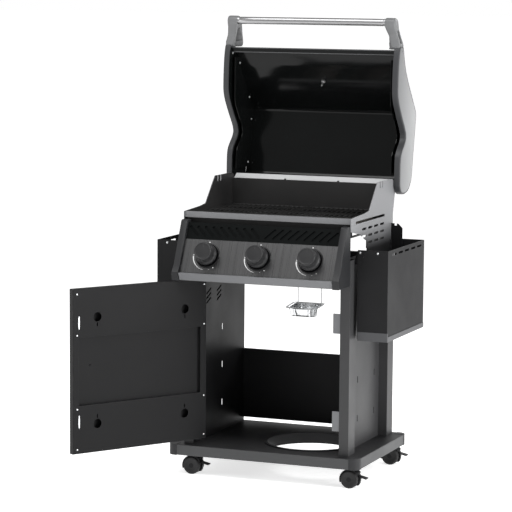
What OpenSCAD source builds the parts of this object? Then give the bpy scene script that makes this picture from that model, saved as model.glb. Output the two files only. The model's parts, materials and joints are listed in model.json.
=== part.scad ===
// Gas barbecue cart: hinged lid, hinged cabinet door, folding side shelves,
// push-and-turn knobs, sliding drip pan and four braked swivel casters.
// It is drawn with the lid and the door open and both shelves folded down.
// Millimetres, X across, -Y to the front, Z up.

/* [Base] */
// Width of the base shelf
base_w = 694; // [680:1:720]
// Depth of the base shelf
base_d = 514; // [500:1:540]
// Height of the base shelf's top above the floor
base_top = 105; // [104:1:110]
// Radius of the gas bottle's hole
tank_hole_r = 154; // [120:1:154]

/* [Cabinet] */
// Half of the cabinet's outside width
cab_x = 300; // [300:1:302]
// Width of a corner column
column_w = 34; // [30:1:36]
// Reach of the door, hinge pin to free edge
door_w = 507; // [480:1:508]
// Height of the door
door_h = 553; // [500:1:553]
// Angle that the door stands open
door_open = 123; // [90:0.5:130]

/* [Control panel] */
// Slope of the control face above the horizontal
face_tilt = 65; // [60:1:68]
// Spacing of the knobs
knob_pitch = 186; // [150:1:190]
// Largest radius of a knob
knob_r = 37; // [28:1:38]

/* [Firebox and lid] */
// Height of the firebox's front lip above the floor
lip_z = 909; // [905:1:912]
// Half of the firebox's outside width
box_x = 302.5; // [300:0.5:303]
// Outer radius of the lid's handle bar
handle_r = 13; // [11:0.5:14]

/* [Side shelves] */
// Outer plane of a folded shelf, from the centre
shelf_x = 420; // [410:1:430]
// Length of a shelf, along the cart's depth
shelf_len = 388; // [340:1:390]
// Reach of a shelf when it is raised
shelf_reach = 306; // [260:1:330]

/* [Casters] */
// Wheel radius
wheel_r = 30; // [28:0.5:31]
// Trail of the wheel behind its swivel
trail = 20; // [15:1:24]

/* [Hidden] */
$fn = 48;

sheet = 1.6;        // folded steel sheet
gap = 0.3;          // space between bodies that pass each other
fit = 0.05;         // radial clearance of a pin in its bore
cut = 1;            // how far a cutting shape passes a face

// The base, the columns and the door share these planes
skirt = 37;                              // depth of the base shelf's skirt
front_y = -222;                          // front face of the front columns
rear_y = 238;                            // rear face of the rear columns
front_col_d = 64;                        // depth of a front column
rear_col_d = 60;                         // depth of a rear column
column_top = 768;
web_x = cab_x - column_w;                // outer plane of the side webs
corner = 34;                             // side of a corner cap
tank_c = [100, -35];                     // centre of the bottle's hole
ring_w = 10;                             // width of the ring raised around it
ring_h = 4;                              // height of that ring
well = 34;                               // depth of the rim turned down inside the hole
door_pin = [-240, -232];                 // door hinge axis
door_z = base_top + 22;                  // bottom edge of the door
door_heel = -22;                         // hinge-side end of the door, past its axis
catch_z = [222, 554];                    // magnet catches on the right column
door_front = -14;                        // outer face of the door, from its hinge axis
door_back = 6;                           // inner face of the door's skin
pin_r = 3;

// Control face: origin on its lower front edge, local Y up the slope, local Z outwards
face_o = [0, -320, 713];
face_len = 118;                          // control face, up the slope
vent_len = 60;                           // vent insert above it
face_x = 276;                            // half width of the face
knob_v = 62;                             // knob axis, up the slope
valve_back = 40;                         // length of a valve body
stem_r = 4;
push = 4;                                // travel of a pressed knob
manifold_z = -valve_back - 9.5;
manifold_r = 9.5;

// Firebox
box_front = -225;
box_back = 207;
tub_z = 846;                             // lower rim of the tub's walls
drain_z = 800;                           // bottom of the tub's hopper
wall_foot = 744;                         // lower edge of the side walls, on the columns
flange_x = 294;                          // half width of the ledge behind the grids
shoulder_z = lip_z + 101;                // raised rear part of the side walls
burner_z = lip_z - 53;
grid_z = lip_z - 12;

// Lid: hinge axis, and outlines (Y, Z) of the open lid
hinge = [222, 988];
cap_x = 306;                             // inner plane of the end caps
cap_t = 21;                              // their thickness
bar_c = [184, 1550];                     // centre of the handle bar
arm_x = 275;                             // inner plane of the handle arms
lid_skin = [[200, 1454], [229, 1456], [236, 1427], [262, 1367], [367, 1243], [377, 1228],
            [377, 1214], [352, 1095], [343, 1030], [338, 1004], [326, 990], [300, 976], [270, 966]];
cap_outline = [[203, 992], [206, 976], [222, 955], [260, 950], [305, 960], [334, 990], [343, 1014],
               [356, 1095], [381, 1215], [380, 1230], [371, 1245], [266, 1369], [242, 1427],
               [233, 1462], [222, 1470], [196, 1470], [186, 1462], [174, 1421], [168, 1348],
               [168, 1288], [214, 1223], [261, 1168], [264, 1142], [214, 1101], [204, 1071]];

gauge_c = [12, 284, 1341];               // thermometer, on the skin's upper slope
gauge_tilt = 40.3;                       // its axis above the horizontal

// Folding shelves
shelf_y = -186;                          // front edge
shelf_top = 802;
shelf_pin = [330, 780];                  // pivot (X, Z)
shelf_pin_r = 4;
shelf_in = 313;                          // inner edge of a folded shelf's ends

// Casters: swivel axes, in the order front left, front right, rear right, rear left
caster_at = [[-288, -213], [288, -213], [288, 213], [-288, 213]];
wheel_w = 18;                            // one of the two discs
wheel_gap = 13;                          // space between them
stem_z = base_top - skirt;               // underside of the base

// Drip pan and the foil cup under it
pan_z = 678;
cup_c = [22, 96];
cup_rim = 562;                           // height of the cup's rim
cup_size = [116, 88];
cup_deep = 34;
cup_tilt = 6;

// The row's origin: middle of the bounding box, on the floor
reach_left = door_pin.x + door_w * cos(door_open) + door_front * sin(door_open);
reach_front = door_pin.y - door_w * sin(door_open) + door_back * cos(door_open);
reach_right = shelf_x + sheet;
reach_back = max([for (p = cap_outline) p.x]);
home = [-(reach_left + reach_right) / 2, -(reach_front + reach_back) / 2, 0];

function unit(v) = v / norm(v);
function left_of(v) = [-v.y, v.x];
// Mitre direction at a corner between two edges, scaled so both edges move by 1
function mitre(u, w) = let (m = unit(left_of(u) + left_of(w))) m / (m * left_of(u));
// A closed outline moved sideways by d
function inset(p, d) = [for (i = [0:len(p) - 1])
    let (a = p[(i + len(p) - 1) % len(p)], b = p[i], c = p[(i + 1) % len(p)])
    b + d * mitre(unit(b - a), unit(c - b))];
// An open line moved sideways by d
function beside(p, d) = [for (i = [0:len(p) - 1])
    let (a = p[max(i - 1, 0)], b = p[i], c = p[min(i + 1, len(p) - 1)],
         u = i == 0 ? unit(c - b) : unit(b - a), w = i == len(p) - 1 ? u : unit(c - b))
    b + d * mitre(u, w)];
function reversed(p) = [for (i = [len(p) - 1:-1:0]) p[i]];
// A sheet of thickness t along an open line
function folded(p, t) = concat(p, reversed(beside(p, t)));
// One round of corner cutting, closed and open
function soft(p) = [for (i = [0:len(p) - 1]) let (a = p[i], b = p[(i + 1) % len(p)])
    each [a * 0.75 + b * 0.25, a * 0.25 + b * 0.75]];
function soft_line(p) = concat([p[0]],
    [for (i = [0:len(p) - 2]) let (a = p[i], b = p[i + 1])
        each [a * 0.75 + b * 0.25, a * 0.25 + b * 0.75]], [p[len(p) - 1]]);

// Extrudes a (Y, Z) outline across X, from x0 to x1
module across(x0, x1) {
    translate([x0, 0, 0]) rotate([90, 0, 90]) linear_extrude(x1 - x0) children();
}
// Box between two corners
module block(a, b) {
    translate(a) cube(b - a);
}
// Rounded rectangle, centred, standing on z0
module slab(w, d, r, z0, z1) {
    translate([0, 0, z0]) linear_extrude(z1 - z0) union() {
        square([w - 2 * r, d], center = true);
        square([w, d - 2 * r], center = true);
        for (x = [-1, 1], y = [-1, 1]) translate([x * (w / 2 - r), y * (d / 2 - r)]) circle(r);
    }
}
// Tube or rod along X or Y, starting at p
module rod_x(p, r, l) {
    translate(p) rotate([0, 90, 0]) cylinder(r = r, h = l);
}
module rod_y(p, r, l) {
    translate(p) rotate([-90, 0, 0]) cylinder(r = r, h = l);
}
// Round-ended slot through a sheet lying in the local XY plane
module slot(l, w, h) {
    linear_extrude(h, center = true) union() {
        square([l - w, w], center = true);
        for (s = [-1, 1]) translate([s * (l - w) / 2, 0]) circle(w / 2, $fn = 16);
    }
}
// A rectangular tube standing on the base, open at the ends
module column(x0, x1, y0, y1) {
    difference() {
        block([x0, y0, base_top], [x1, y1, column_top]);
        block([x0 + sheet, y0 + sheet, base_top - cut], [x1 - sheet, y1 - sheet, column_top + cut]);
    }
}
// Places children on the control face
module on_face() {
    translate(face_o) rotate([face_tilt, 0, 0]) children();
}
function knob_x(i) = (i - 2) * knob_pitch;

module bottom_shelf() {
    color("#2b2c2e") difference() {
        union() {
            slab(base_w, base_d, 24, base_top - sheet, base_top);
            translate([tank_c.x, tank_c.y, 0]) {
                translate([0, 0, base_top - sheet]) cylinder(r = tank_hole_r + ring_w, h = sheet + ring_h, $fn = 96);
                translate([0, 0, base_top - well]) cylinder(r = tank_hole_r + sheet, h = well, $fn = 96);
            }
        }
        translate([tank_c.x, tank_c.y, base_top - skirt]) cylinder(r = tank_hole_r, h = 2 * skirt, $fn = 96);
        for (x = [-1, 1], y = [-1, 1]) translate([x * base_w / 2, y * base_d / 2, base_top])
            cube([2 * corner, 2 * corner, 10], center = true);
    }
}

// The shelf's folded-down edges, between the corner caps
module base_skirt() {
    color("#2b2c2e") for (s = [0, 1]) mirror([s, 0, 0]) mirror([0, s, 0]) {
        block([-base_w / 2 + corner, -base_d / 2, base_top - skirt],
            [base_w / 2 - corner, -base_d / 2 + sheet, base_top - sheet]);
        block([base_w / 2 - sheet, -base_d / 2 + corner, base_top - skirt],
            [base_w / 2, base_d / 2 - corner, base_top - sheet]);
    }
}

module corner_caps() {
    inner = [base_w / 2 - corner, base_d / 2 - corner];
    color("#333437") intersection() {
        difference() {
            slab(base_w + 2, base_d + 2, 26, base_top - skirt - 1, base_top + 1);
            slab(base_w - 4, base_d - 4, 22, base_top - skirt - 2, base_top - 2);
        }
        for (x = [-1, 1], y = [-1, 1]) translate([x * (inner.x + corner), y * (inner.y + corner), base_top])
            cube([2 * corner, 2 * corner, 2 * skirt + 10], center = true);
    }
}

// Side panel on the right; the left one is its mirror image
module side_panel(slot_rows, slot_ys) {
    difference() {
        union() {
            column(web_x, cab_x, front_y, front_y + front_col_d);
            column(web_x, cab_x, rear_y - rear_col_d, rear_y);
            block([web_x, front_y + front_col_d, base_top], [web_x + sheet, rear_y - rear_col_d, column_top]);
        }
        for (z = slot_rows, y = slot_ys) translate([web_x, y, z]) rotate([90, 90, 90]) slot(24, 7, 10);
        for (z = [587, 603, 619], s = [-1, 1]) translate([web_x, -46 + s * 46, z]) rotate([90, 0, 90])
            rotate([0, 0, 22]) slot(46, 8, 10);
    }
}

module side_panel_left() {
    color("#232426") mirror([1, 0, 0]) side_panel([209, 344, 479], [33]);
}

module side_panel_right() {
    color("#232426") side_panel([203, 338], [-42, 130]);
}

module rear_panel() {
    z0 = 123;
    z1 = 373;
    color("#2b2c2e") union() {
        block([-web_x, 233.4, z0], [web_x, 235, z1]);
        for (z = [z0, z1 - sheet]) block([-web_x, 222, z], [web_x, 234, z + sheet]);
    }
}

module support_rails() {
    color("#232426") {
        block([-web_x, front_y + 2, 722], [web_x, front_y + 26, 746]);
        block([-web_x, rear_y - 26, 722], [web_x, rear_y - 2, 746]);
        for (s = [-1, 1]) {
            block([s < 0 ? -web_x : web_x - 16, -190, pan_z - 3 - sheet], [s < 0 ? -web_x + 16 : web_x, 176, pan_z - 3]);
            block([s < 0 ? -web_x : web_x - sheet, -190, pan_z - 3], [s < 0 ? -web_x + sheet : web_x, 176, pan_z + 20]);
        }
    }
}

module door_hinge_pins() {
    color("#191a1b") for (top = [0, 1]) {
        z = top ? door_z + door_h + 1 : door_z - 1;
        low = top ? z : z - 2.5;
        union() {
            block([-web_x - 10, door_pin.y - 8, low], [door_pin.x + 8, front_y, low + 2.5]);
            translate([door_pin.x, door_pin.y, top ? z - 18 : z]) cylinder(r = pin_r, h = 18);
        }
    }
}

module magnet_catches() {
    color("#4b4c4e") for (z = catch_z) union() {
        block([web_x - 26, front_y + 2, z - 34], [web_x, front_y + 4, z + 34]);
        block([web_x - 20, front_y + 4, z - 22], [web_x - 6, front_y + 16, z + 22]);
    }
}

module caster_stems() {
    color("#8d8f92") for (c = caster_at) translate([c.x, c.y, 0]) union() {
        translate([0, 0, base_top - sheet - 1.5]) cube([48, 54, 3], center = true);
        translate([0, 0, stem_z]) cylinder(r = 12, h = skirt - sheet - 2);
        translate([0, 0, stem_z - 18]) cylinder(r = 5, h = 20);
    }
}

module control_panel() {
    color("#202123") difference() {
        union() {
            on_face() block([-face_x, 0, -sheet], [face_x, face_len, 0]);
            block([-face_x, -322, 684], [face_x, -320.4, 713]);
            block([-face_x, -322, 684], [face_x, front_y, 684 + sheet]);
        }
        for (i = [1:3]) on_face() translate([knob_x(i), knob_v, -5]) cylinder(r = stem_r + 1.5, h = 10);
    }
}

module panel_ends() {
    side = [[-334, 683], [-338, 712], [-320, 735], [-256, 879], [-250, 883], [front_y, 883], [front_y, 683]];
    color("#323336") for (s = [0, 1]) mirror([s, 0, 0]) difference() {
        across(face_x + 1, face_x + 24) polygon(side);
        across(face_x + 3, face_x + 22) polygon(inset(side, -2));
        across(face_x, face_x + 4) polygon([[-300, 700], [-300, 730], [-240, 860], [-226, 860], [-226, 700]]);
    }
}

module trim_strip() {
    color("#7d7f82") across(-face_x + 0.5, face_x - 0.5)
        polygon([[-322, 686.2], [-327, 686.2], [-337, 711], [-322, 711]]);
}

module vent_insert() {
    slats = 9;
    color("#0f1011") on_face() difference() {
        union() {
            block([-face_x, face_len + 0.2, -6], [face_x, face_len + vent_len, -0.5]);
            block([-face_x, face_len + vent_len - 2, -20], [face_x, face_len + vent_len, -0.5]);
        }
        for (s = [-1, 1], i = [0:slats - 1]) translate([s * (27 + i * 28), face_len + vent_len / 2, 0])
            rotate([0, 0, s * 45]) slot(50, 9, 8);
    }
}

module knob_bezels() {
    color("#151617") for (i = [1:3]) on_face() translate([knob_x(i), knob_v, 0.1]) rotate_extrude($fn = 64)
        polygon([[9, 0], [44, 0], [43, 2], [40, 3], [9, 3]]);
}

module valve_bodies() {
    color("#b08d4a") for (i = [1:3]) on_face() translate([knob_x(i), knob_v, -valve_back]) difference() {
        union() {
            cylinder(r = 13, h = valve_back - 2);
            translate([0, 6, 8]) rotate([-90, 0, 0]) cylinder(r = 6, h = 26);
        }
        translate([0, 0, 8]) cylinder(r = stem_r + fit, h = valve_back);
    }
}

module gas_manifold() {
    color("#a9abad") on_face() union() {
        rod_x([-236, knob_v, manifold_z], manifold_r, 472);
        translate([226, knob_v, manifold_z]) rotate([90, 0, 0]) cylinder(r = 7.9, h = 34);
    }
}

module firebox() {
    wall = [[-228, lip_z], [-228, 865], [-135, 848], [-78, 824], [-62, 822], [-62, wall_foot],
            [box_back, wall_foot], [box_back, 888], [224, 952], [228, 960], [232, 992],
            [216, 1000], [192, shoulder_z], [40, shoulder_z],
            [20, 990], [-45, lip_z + 11], [-90, lip_z + 6]];
    inner = [2 * box_x - 8, box_back - box_front - 14];
    mid = (box_back + box_front) / 2;
    color("#3a3b3d") difference() {
        union() {
            for (s = [0, 1]) mirror([s, 0, 0]) difference() {
                across(box_x - 2.5, box_x) polygon(wall);
                // long slot, then three rows of short ones
                translate([box_x, -30, lip_z - 18]) rotate([90, 0, 90]) slot(300, 9, 10);
                for (row = [0:2], i = [row == 2 ? 1 : 0:3])
                    translate([box_x, -94 + 62 * i, lip_z - 46 - 25 * row]) rotate([90, 0, 90]) slot(42, 8, 10);
                for (y = [62, 88]) block([box_x - 4, y, shoulder_z - 22], [box_x + cut, y + 7, shoulder_z + cut]);
                rod_x([box_x - 10, hinge.x, hinge.y], 4 + fit, 20);
            }
            // baffles hanging behind the short slots
            for (s = [0, 1]) mirror([s, 0, 0])
                block([box_x - 6, -58, drain_z - 6], [box_x - 4.8, box_back - 17, tub_z - 1]);
            // front wall with its rolled lip, and the rear wall
            across(-box_x + 2, box_x - 2) polygon(folded([[box_front + 1, lip_z - 20], [box_front, lip_z - 1],
                [-209, lip_z - 1], [-209, tub_z]], -2));
            across(-box_x + 2, box_x - 2) polygon(folded([[box_back - 10, tub_z - 20], [box_back - 10, 990]], 2));
            // ledges for the grids
            block([-box_x + 2, -210, grid_z - 8], [box_x - 2, -196, grid_z - 5.5]);
            block([-box_x + 2, 184, grid_z - 8], [box_x - 2, 198, grid_z - 5.5]);
            // hopper from the walls to the drain
            difference() {
                hull() {
                    translate([0, mid - 3, tub_z]) cube([inner.x + 5, inner.y + 2, 4], center = true);
                    translate([cup_c.x, cup_c.y - 20, drain_z]) cube([104, 84, 4], center = true);
                }
                hull() {
                    translate([0, mid - 3, tub_z + 3]) cube([inner.x, inner.y - 4, 4], center = true);
                    translate([cup_c.x, cup_c.y - 20, drain_z - 3]) cube([98, 78, 20], center = true);
                }
            }
        }
        for (i = [1:3]) translate([knob_x(i), -206, burner_z]) {
            rod_y([0, -12, 0], 11.6, 32);
            rotate([148, 0, 0]) cylinder(r = 11.6, h = 60);
        }
    }
}

module rear_flange() {
    color("#c9cbcd") difference() {
        across(-flange_x, flange_x) polygon(folded([[199.2, 990.5], [201.5, 990.5], [223, 1005]], 1.6));
        for (x = [-100, 100]) block([x - 4, 195, 985], [x + 4, 206, 1000]);
    }
}

module burners() {
    color("#9a9c9e") for (i = [1:3]) union() {
        rod_y([knob_x(i), -206, burner_z], 11, 390);
        translate([knob_x(i), -206, burner_z]) sphere(r = 11);
        translate([knob_x(i), -206, burner_z]) rotate([148, 0, 0]) cylinder(r = 11, h = 40);
        translate([knob_x(i), -227.2, burner_z - 33.9]) rotate([160, 0, 0]) cylinder(r = 13, h = 18);
    }
}

module sear_plates() {
    color("#5a5b5d") for (i = [1:3]) translate([knob_x(i), 182, burner_z + 15]) rotate([90, 0, 0])
        linear_extrude(370) polygon(folded([[-58, 0], [0, 20], [58, 0]], -1.5));
}

module cooking_grids() {
    bars = 15;
    half = 292;
    color("#1b1c1d") for (s = [-1, 1]) translate([s * (half / 2 + 1), -6, grid_z]) union() {
        for (y = [-192, 192]) translate([0, y, 0]) cube([half - 4, 9, 9], center = true);
        for (x = [-1, 1]) translate([x * (half / 2 - 6.5), 0, 0]) cube([9, 384, 9], center = true);
        for (i = [1:bars]) translate([half * (i / (bars + 1) - 0.5), 0, 0]) cube([7, 384, 9], center = true);
    }
}

module shelf_bracket() {
    rear = [[box_x, 856], [315, 856], [315, 848], [323, 848], [323, 856], [330, 854],
            [344, 840], [344, 765], [338, 752], [box_x, 752]];
    front = [[cab_x, 752], [cab_x, 766], [306, 796], [336, 796], [344, 788], [344, 764], [332, 752]];
    color("#151617") {
        union() {
            translate([0, 191, 0]) rotate([90, 0, 0]) linear_extrude(2) polygon(rear);
            rod_y([shelf_pin.x, 189, shelf_pin.y], shelf_pin_r, 15);
            block([box_x, 177, 752], [box_x + 2, 191, 800]);
        }
        union() {
            translate([0, -174, 0]) rotate([90, 0, 0]) linear_extrude(2) polygon(front);
            rod_y([shelf_pin.x, shelf_y - 2, shelf_pin.y], shelf_pin_r, 13);
            block([cab_x, -176, 752], [cab_x + 2, -160, column_top - 2]);
        }
    }
}

module shelf_brackets_left() {
    mirror([1, 0, 0]) shelf_bracket();
}

module shelf_brackets_right() {
    shelf_bracket();
}

module lid_hinge_pins() {
    color("#8d8f92") for (s = [-1, 1]) {
        rod_x([s < 0 ? -324 : 299.6, hinge.x, hinge.y], 4, 24.4);
        rod_x([s < 0 ? -299.6 : 296.6, hinge.x, hinge.y], 7, 3);
    }
}

module drip_pan() {
    half = web_x - 3;
    color("#3a3b3d") difference() {
        block([-half, -188, pan_z], [half, 196, pan_z + 30]);
        block([-half + 1.2, -186.8, pan_z + 1.2], [half - 1.2, 194.8, pan_z + 30 + cut]);
        translate([cup_c.x, cup_c.y, pan_z]) cylinder(r = 20, h = 10, center = true);
    }
}

module cup_hanger() {
    x0 = cup_size.x / 2 - 2;
    y0 = cup_size.y / 2 - 2;
    color("#6f7174") union() {
        for (s = [-1, 1]) translate([cup_c.x + s * x0 * 0.78, cup_c.y + y0, 0]) union() {
            translate([0, 0, cup_rim - 4]) cylinder(r = 1.5, h = pan_z - cup_rim + 4);
            translate([0, 0, pan_z - 2]) cylinder(r = 5, h = 2);
        }
        translate([cup_c.x, cup_c.y, cup_rim - 4]) rotate([cup_tilt, 0, 0]) difference() {
            cube([2 * x0 + 3, 2 * y0 + 3, 3], center = true);
            cube([2 * x0 - 3, 2 * y0 - 3, 4], center = true);
        }
    }
}

module foil_cup() {
    w = cup_size.x;
    d = cup_size.y;
    color("#d7d9db") translate([cup_c.x, cup_c.y, cup_rim]) rotate([cup_tilt, 0, 0]) difference() {
        union() {
            translate([0, 0, -1.6]) linear_extrude(1.6) square([w + 8, d + 8], center = true);
            hull() {
                translate([0, 0, -1]) cube([w - 12, d - 12, 1], center = true);
                translate([0, 0, -cup_deep]) cube([w - 26, d - 22, 1], center = true);
            }
        }
        for (s = [-1, 1]) translate([s * (w / 2 - 2) * 0.78, d / 2 - 2, -4]) cylinder(r = 2.6, h = 8);
        hull() {
            translate([0, 0, 0.5]) cube([w - 14, d - 14, 3], center = true);
            translate([0, 0, -cup_deep + 1]) cube([w - 28, d - 24, 1], center = true);
        }
    }
}

module lid_shell() {
    side = soft(inset(cap_outline, 5));
    color("#141516") union() {
        difference() {
            across(-cap_x + 1, cap_x - 1) polygon(folded(soft_line(lid_skin), -2));
            translate(gauge_c) rotate([gauge_tilt - 90, 0, 0]) cylinder(r = 4, h = 20, center = true);
        }
        // folded front lip, then the side sheets
        across(-cap_x + 1, cap_x - 1) polygon([[200, 1438], [201.6, 1438], [201.6, 1454], [200, 1454]]);
        for (s = [0, 1]) mirror([s, 0, 0]) difference() {
            across(cap_x - 2, cap_x) polygon(side);
            block([cap_x - 3, 100, 1454], [cap_x, 300, 1600]);
            rod_x([cap_x - 10, hinge.x, hinge.y], 4 + fit, 20);
        }
    }
}

// Handle arm seen from the front; its inner side runs out to foot_x below the bar
module arm_front(foot_x, y0, y1) {
    side = cap_x + cap_t - 2;
    translate([0, y1, 0]) rotate([90, 0, 0]) linear_extrude(y1 - y0)
        polygon([[foot_x, 1455], [foot_x, 1465], [arm_x, 1538], [arm_x, 1570],
            [cap_x + 5, 1570], [cap_x + 5, 1530], [side, 1470], [side, 1455]]);
}

// End cap on the right: a hollow casting with the handle's arm at its top
module lid_cap() {
    arm = [[183, 1456.6], [190, 1497], [172, 1532], [167, 1550], [172, 1562], [184, 1567],
           [198, 1566], [208, 1558], [216, 1545], [226, 1500], [236, 1456.6]];
    outline = soft(soft(cap_outline));
    difference() {
        union() {
            across(cap_x, cap_x + cap_t) polygon(outline);
            intersection() {
                across(arm_x, cap_x + cap_t) polygon(soft(arm));
                union() {
                    arm_front(arm_x + 22, 150, 216);
                    arm_front(arm_x, 215, 250);
                }
            }
            rod_x([cap_x, hinge.x, hinge.y], 12, cap_t - 3);
        }
        difference() {
            across(cap_x - cut, cap_x + cap_t - 3) polygon(inset(outline, 4));
            rod_x([cap_x - 2, hinge.x, hinge.y], 12, cap_t);
            block([cap_x - 2, 100, 1448], [cap_x + cap_t, 300, 1600]);
        }
        // window under the bar, then the bore of the hinge
        translate([290, 208, 1500]) rotate([90, 0, 90]) rotate([0, 0, 104]) slot(50, 20, 80);
        rod_x([cap_x - 5, hinge.x, hinge.y], 4 + fit, 24);
    }
}

module lid_cap_left() {
    color("#b9bbbd") mirror([1, 0, 0]) lid_cap();
}

module lid_cap_right() {
    color("#b9bbbd") lid_cap();
}

module lid_handle() {
    color("#c4c6c8") rod_x([-arm_x, bar_c.x, bar_c.y], handle_r, 2 * arm_x);
}

module thermometer() {
    color("#c4c6c8") translate(gauge_c) rotate([gauge_tilt - 90, 0, 0]) union() {
        translate([0, 0, 4.5]) cylinder(r = 35, h = 10, $fn = 64);
        translate([0, 0, -30]) cylinder(r = 3, h = 36);
        translate([0, 0, -8]) cylinder(r = 8, h = 6, $fn = 6);
    }
}

module lid_bolts() {
    places = [[205, 1434], [240, 1398], [332, 1272], [352, 1192], [322, 1038]];
    color("#d0d2d4") for (s = [-1, 1], p = places) rod_x([s < 0 ? -cap_x + 2 : cap_x - 5, p.x, p.y], 4.5, 3);
}

// Closed door in its own frame: hinge axis at the origin, free edge at +X
module door_frame() {
    translate([door_pin.x, door_pin.y, 0]) rotate([0, 0, -door_open]) children();
}

module door_skin() {
    z0 = door_z;
    z1 = door_z + door_h;
    color("#232426") door_frame() difference() {
        union() {
            difference() {
                block([door_heel, door_front, z0], [door_w, door_back, z1]);
                block([door_heel + sheet, door_front + sheet, z0 + sheet],
                    [door_w - sheet, door_back + cut, z1 - sheet]);
            }
            for (z = [z0, z1 - 20]) translate([0, 0, z]) cylinder(r = 6, h = 20);
        }
        translate([0, 0, z0 - cut]) cylinder(r = pin_r + fit, h = door_h + 2 * cut);
    }
}

module door_liner() {
    y0 = door_back;
    pocket = [0, door_w - 20, door_z + 160, door_z + 391];
    key_x = [66, 413];
    color("#2b2c2e") door_frame() difference() {
        union() {
            block([door_heel + 1, y0 + 0.1, door_z + 2], [door_w - 1, y0 + sheet, door_z + door_h - 2]);
            block([pocket[0], y0 - 12, pocket[2]], [pocket[1], y0 + 1, pocket[3]]);
        }
        block([pocket[0] + sheet, y0 - 12 + sheet, pocket[2] + sheet], [pocket[1] - sheet, y0 + 5, pocket[3] - sheet]);
        for (x = key_x, up = [0, 1]) {
            z = door_z + (up ? 455 : 96);
            translate([x, y0 + 1, z]) rotate([90, 0, 0]) cylinder(r = 16, h = 6, center = true);
            translate([x, y0 + 1, z + (up ? -25 : 25)]) rotate([90, 90, 0]) slot(14, 5, 6);
        }
        translate([435, y0 - 11, door_z + 294]) rotate([90, 0, 0]) cylinder(r = 3, h = 6, center = true);
    }
}

module door_fasteners() {
    y = door_back + sheet;
    rivet_z = [15, 150, 398, 535];
    color("#c9cbcd") door_frame() {
        for (x = [-13, door_w - 16], z = rivet_z) rod_y([x, y, door_z + z], 3, 1.5);
        for (z = [108, 440]) block([door_w - 26, y, door_z + z - 22], [door_w - 20, y + 1.2, door_z + z + 22]);
    }
}

// Folded shelf on the right
module shelf_pan() {
    y1 = shelf_y + shelf_len;
    bottom = shelf_top - shelf_reach + 6;
    difference() {
        block([shelf_in, shelf_y, bottom], [shelf_x, y1, shelf_top]);
        block([shelf_in - cut, shelf_y + sheet, bottom + sheet], [shelf_x - sheet, y1 - sheet, shelf_top + cut]);
        for (i = [0:4]) translate([shelf_x, -120 + 66.5 * i, shelf_top - 16]) rotate([90, 0, 90]) slot(46, 8, 10);
        rod_y([shelf_pin.x, shelf_y - 10, shelf_pin.y], shelf_pin_r + fit, shelf_len + 20);
    }
}

module shelf_trim() {
    y1 = shelf_y + shelf_len;
    z0 = shelf_top - shelf_reach;
    difference() {
        block([shelf_in + 2, shelf_y - 1.6, z0], [shelf_x + 1.6, y1 + 1.6, z0 + 30]);
        block([shelf_in + 1, shelf_y - 0.1, z0 + 5.9], [shelf_x + 0.1, y1 + 0.1, z0 + 31]);
        block([shelf_x - 1, shelf_y + 4, z0 + 17], [shelf_x + 3, y1 + 3, z0 + 31]);
    }
}

module shelf_pan_left() {
    color("#2b2c2e") mirror([1, 0, 0]) shelf_pan();
}

module shelf_trim_left() {
    color("#6b6d70") mirror([1, 0, 0]) shelf_trim();
}

module shelf_pan_right() {
    color("#2b2c2e") shelf_pan();
}

module shelf_trim_right() {
    color("#6b6d70") shelf_trim();
}

// Valve stem number i, flattened where the knob grips it
module valve_stem(i) {
    color("#b08d4a") on_face() translate([knob_x(i), knob_v, 0]) union() {
        translate([0, 0, -valve_back + 8 + push + gap]) cylinder(r = stem_r, h = valve_back - 5.5);
        translate([0, 0, 3]) cylinder(r = 3, h = 22);
    }
}

// Knob number i: skirt, waist and grip, with a bore for the stem
module knob(i) {
    lift = push + 3.4;
    color("#2a2b2d") on_face() translate([knob_x(i), knob_v, lift]) difference() {
        rotate_extrude($fn = 64) polygon([[0, 0], [knob_r - 1, 0], [knob_r, 2], [knob_r, 8], [knob_r - 4, 12],
            [knob_r - 5, 15], [knob_r - 6, 36], [knob_r - 5, 40], [knob_r - 7, 43], [0, 43]]);
        translate([0, 0, -cut]) cylinder(r = 3 + fit, h = 19);
    }
}

// Caster number k: everything is placed from its swivel axis
module at_caster(k) {
    translate([caster_at[k - 1].x, caster_at[k - 1].y, 0]) children();
}

module caster_fork(k) {
    hood_in = wheel_r + 2;
    hood_out = wheel_r + 5;
    color("#1b1c1d") at_caster(k) difference() {
        union() {
            translate([0, 0, 2 * wheel_r + 1.5]) cylinder(r = 11, h = stem_z - 2 * wheel_r - 2.5);
            translate([trail, 0, wheel_r]) rotate([90, 0, 0]) cylinder(r = hood_out, h = wheel_gap - 2, center = true);
            // hood around the top of the wheels
            translate([trail, 0, wheel_r]) rotate([90, 0, 0]) difference() {
                cylinder(r = hood_out, h = wheel_gap + 2 * wheel_w - 8, center = true);
                cylinder(r = hood_in, h = 80, center = true);
                rotate([0, 0, 20]) translate([-60, -70, -40]) cube([120, 70, 80]);
                translate([0, -60, -40]) cube([60, 80, 80]);
            }
        }
        translate([0, 0, stem_z - 18 - gap]) cylinder(r = 5 + fit, h = 30);
        translate([trail, 0, wheel_r]) rotate([90, 0, 0]) cylinder(r = 4 + fit, h = 60, center = true);
        translate([trail - 60, -40, -40]) cube([120, 80, 49]);
        translate([trail + 15, -40, wheel_r + 2]) cube([40, 80, 18]);
    }
}

module caster_wheels(k) {
    color("#141516") at_caster(k) translate([trail, 0, wheel_r]) rotate([90, 0, 0]) union() {
        for (s = [-1, 1]) translate([0, 0, s * (wheel_gap + wheel_w) / 2])
            rotate_extrude($fn = 64) translate([0, -wheel_w / 2])
                polygon([[0, 0], [wheel_r - 3, 0], [wheel_r, 3], [wheel_r, wheel_w - 3], [wheel_r - 3, wheel_w], [0, wheel_w]]);
        cylinder(r = 4, h = wheel_gap + 2, center = true);
    }
}

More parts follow.
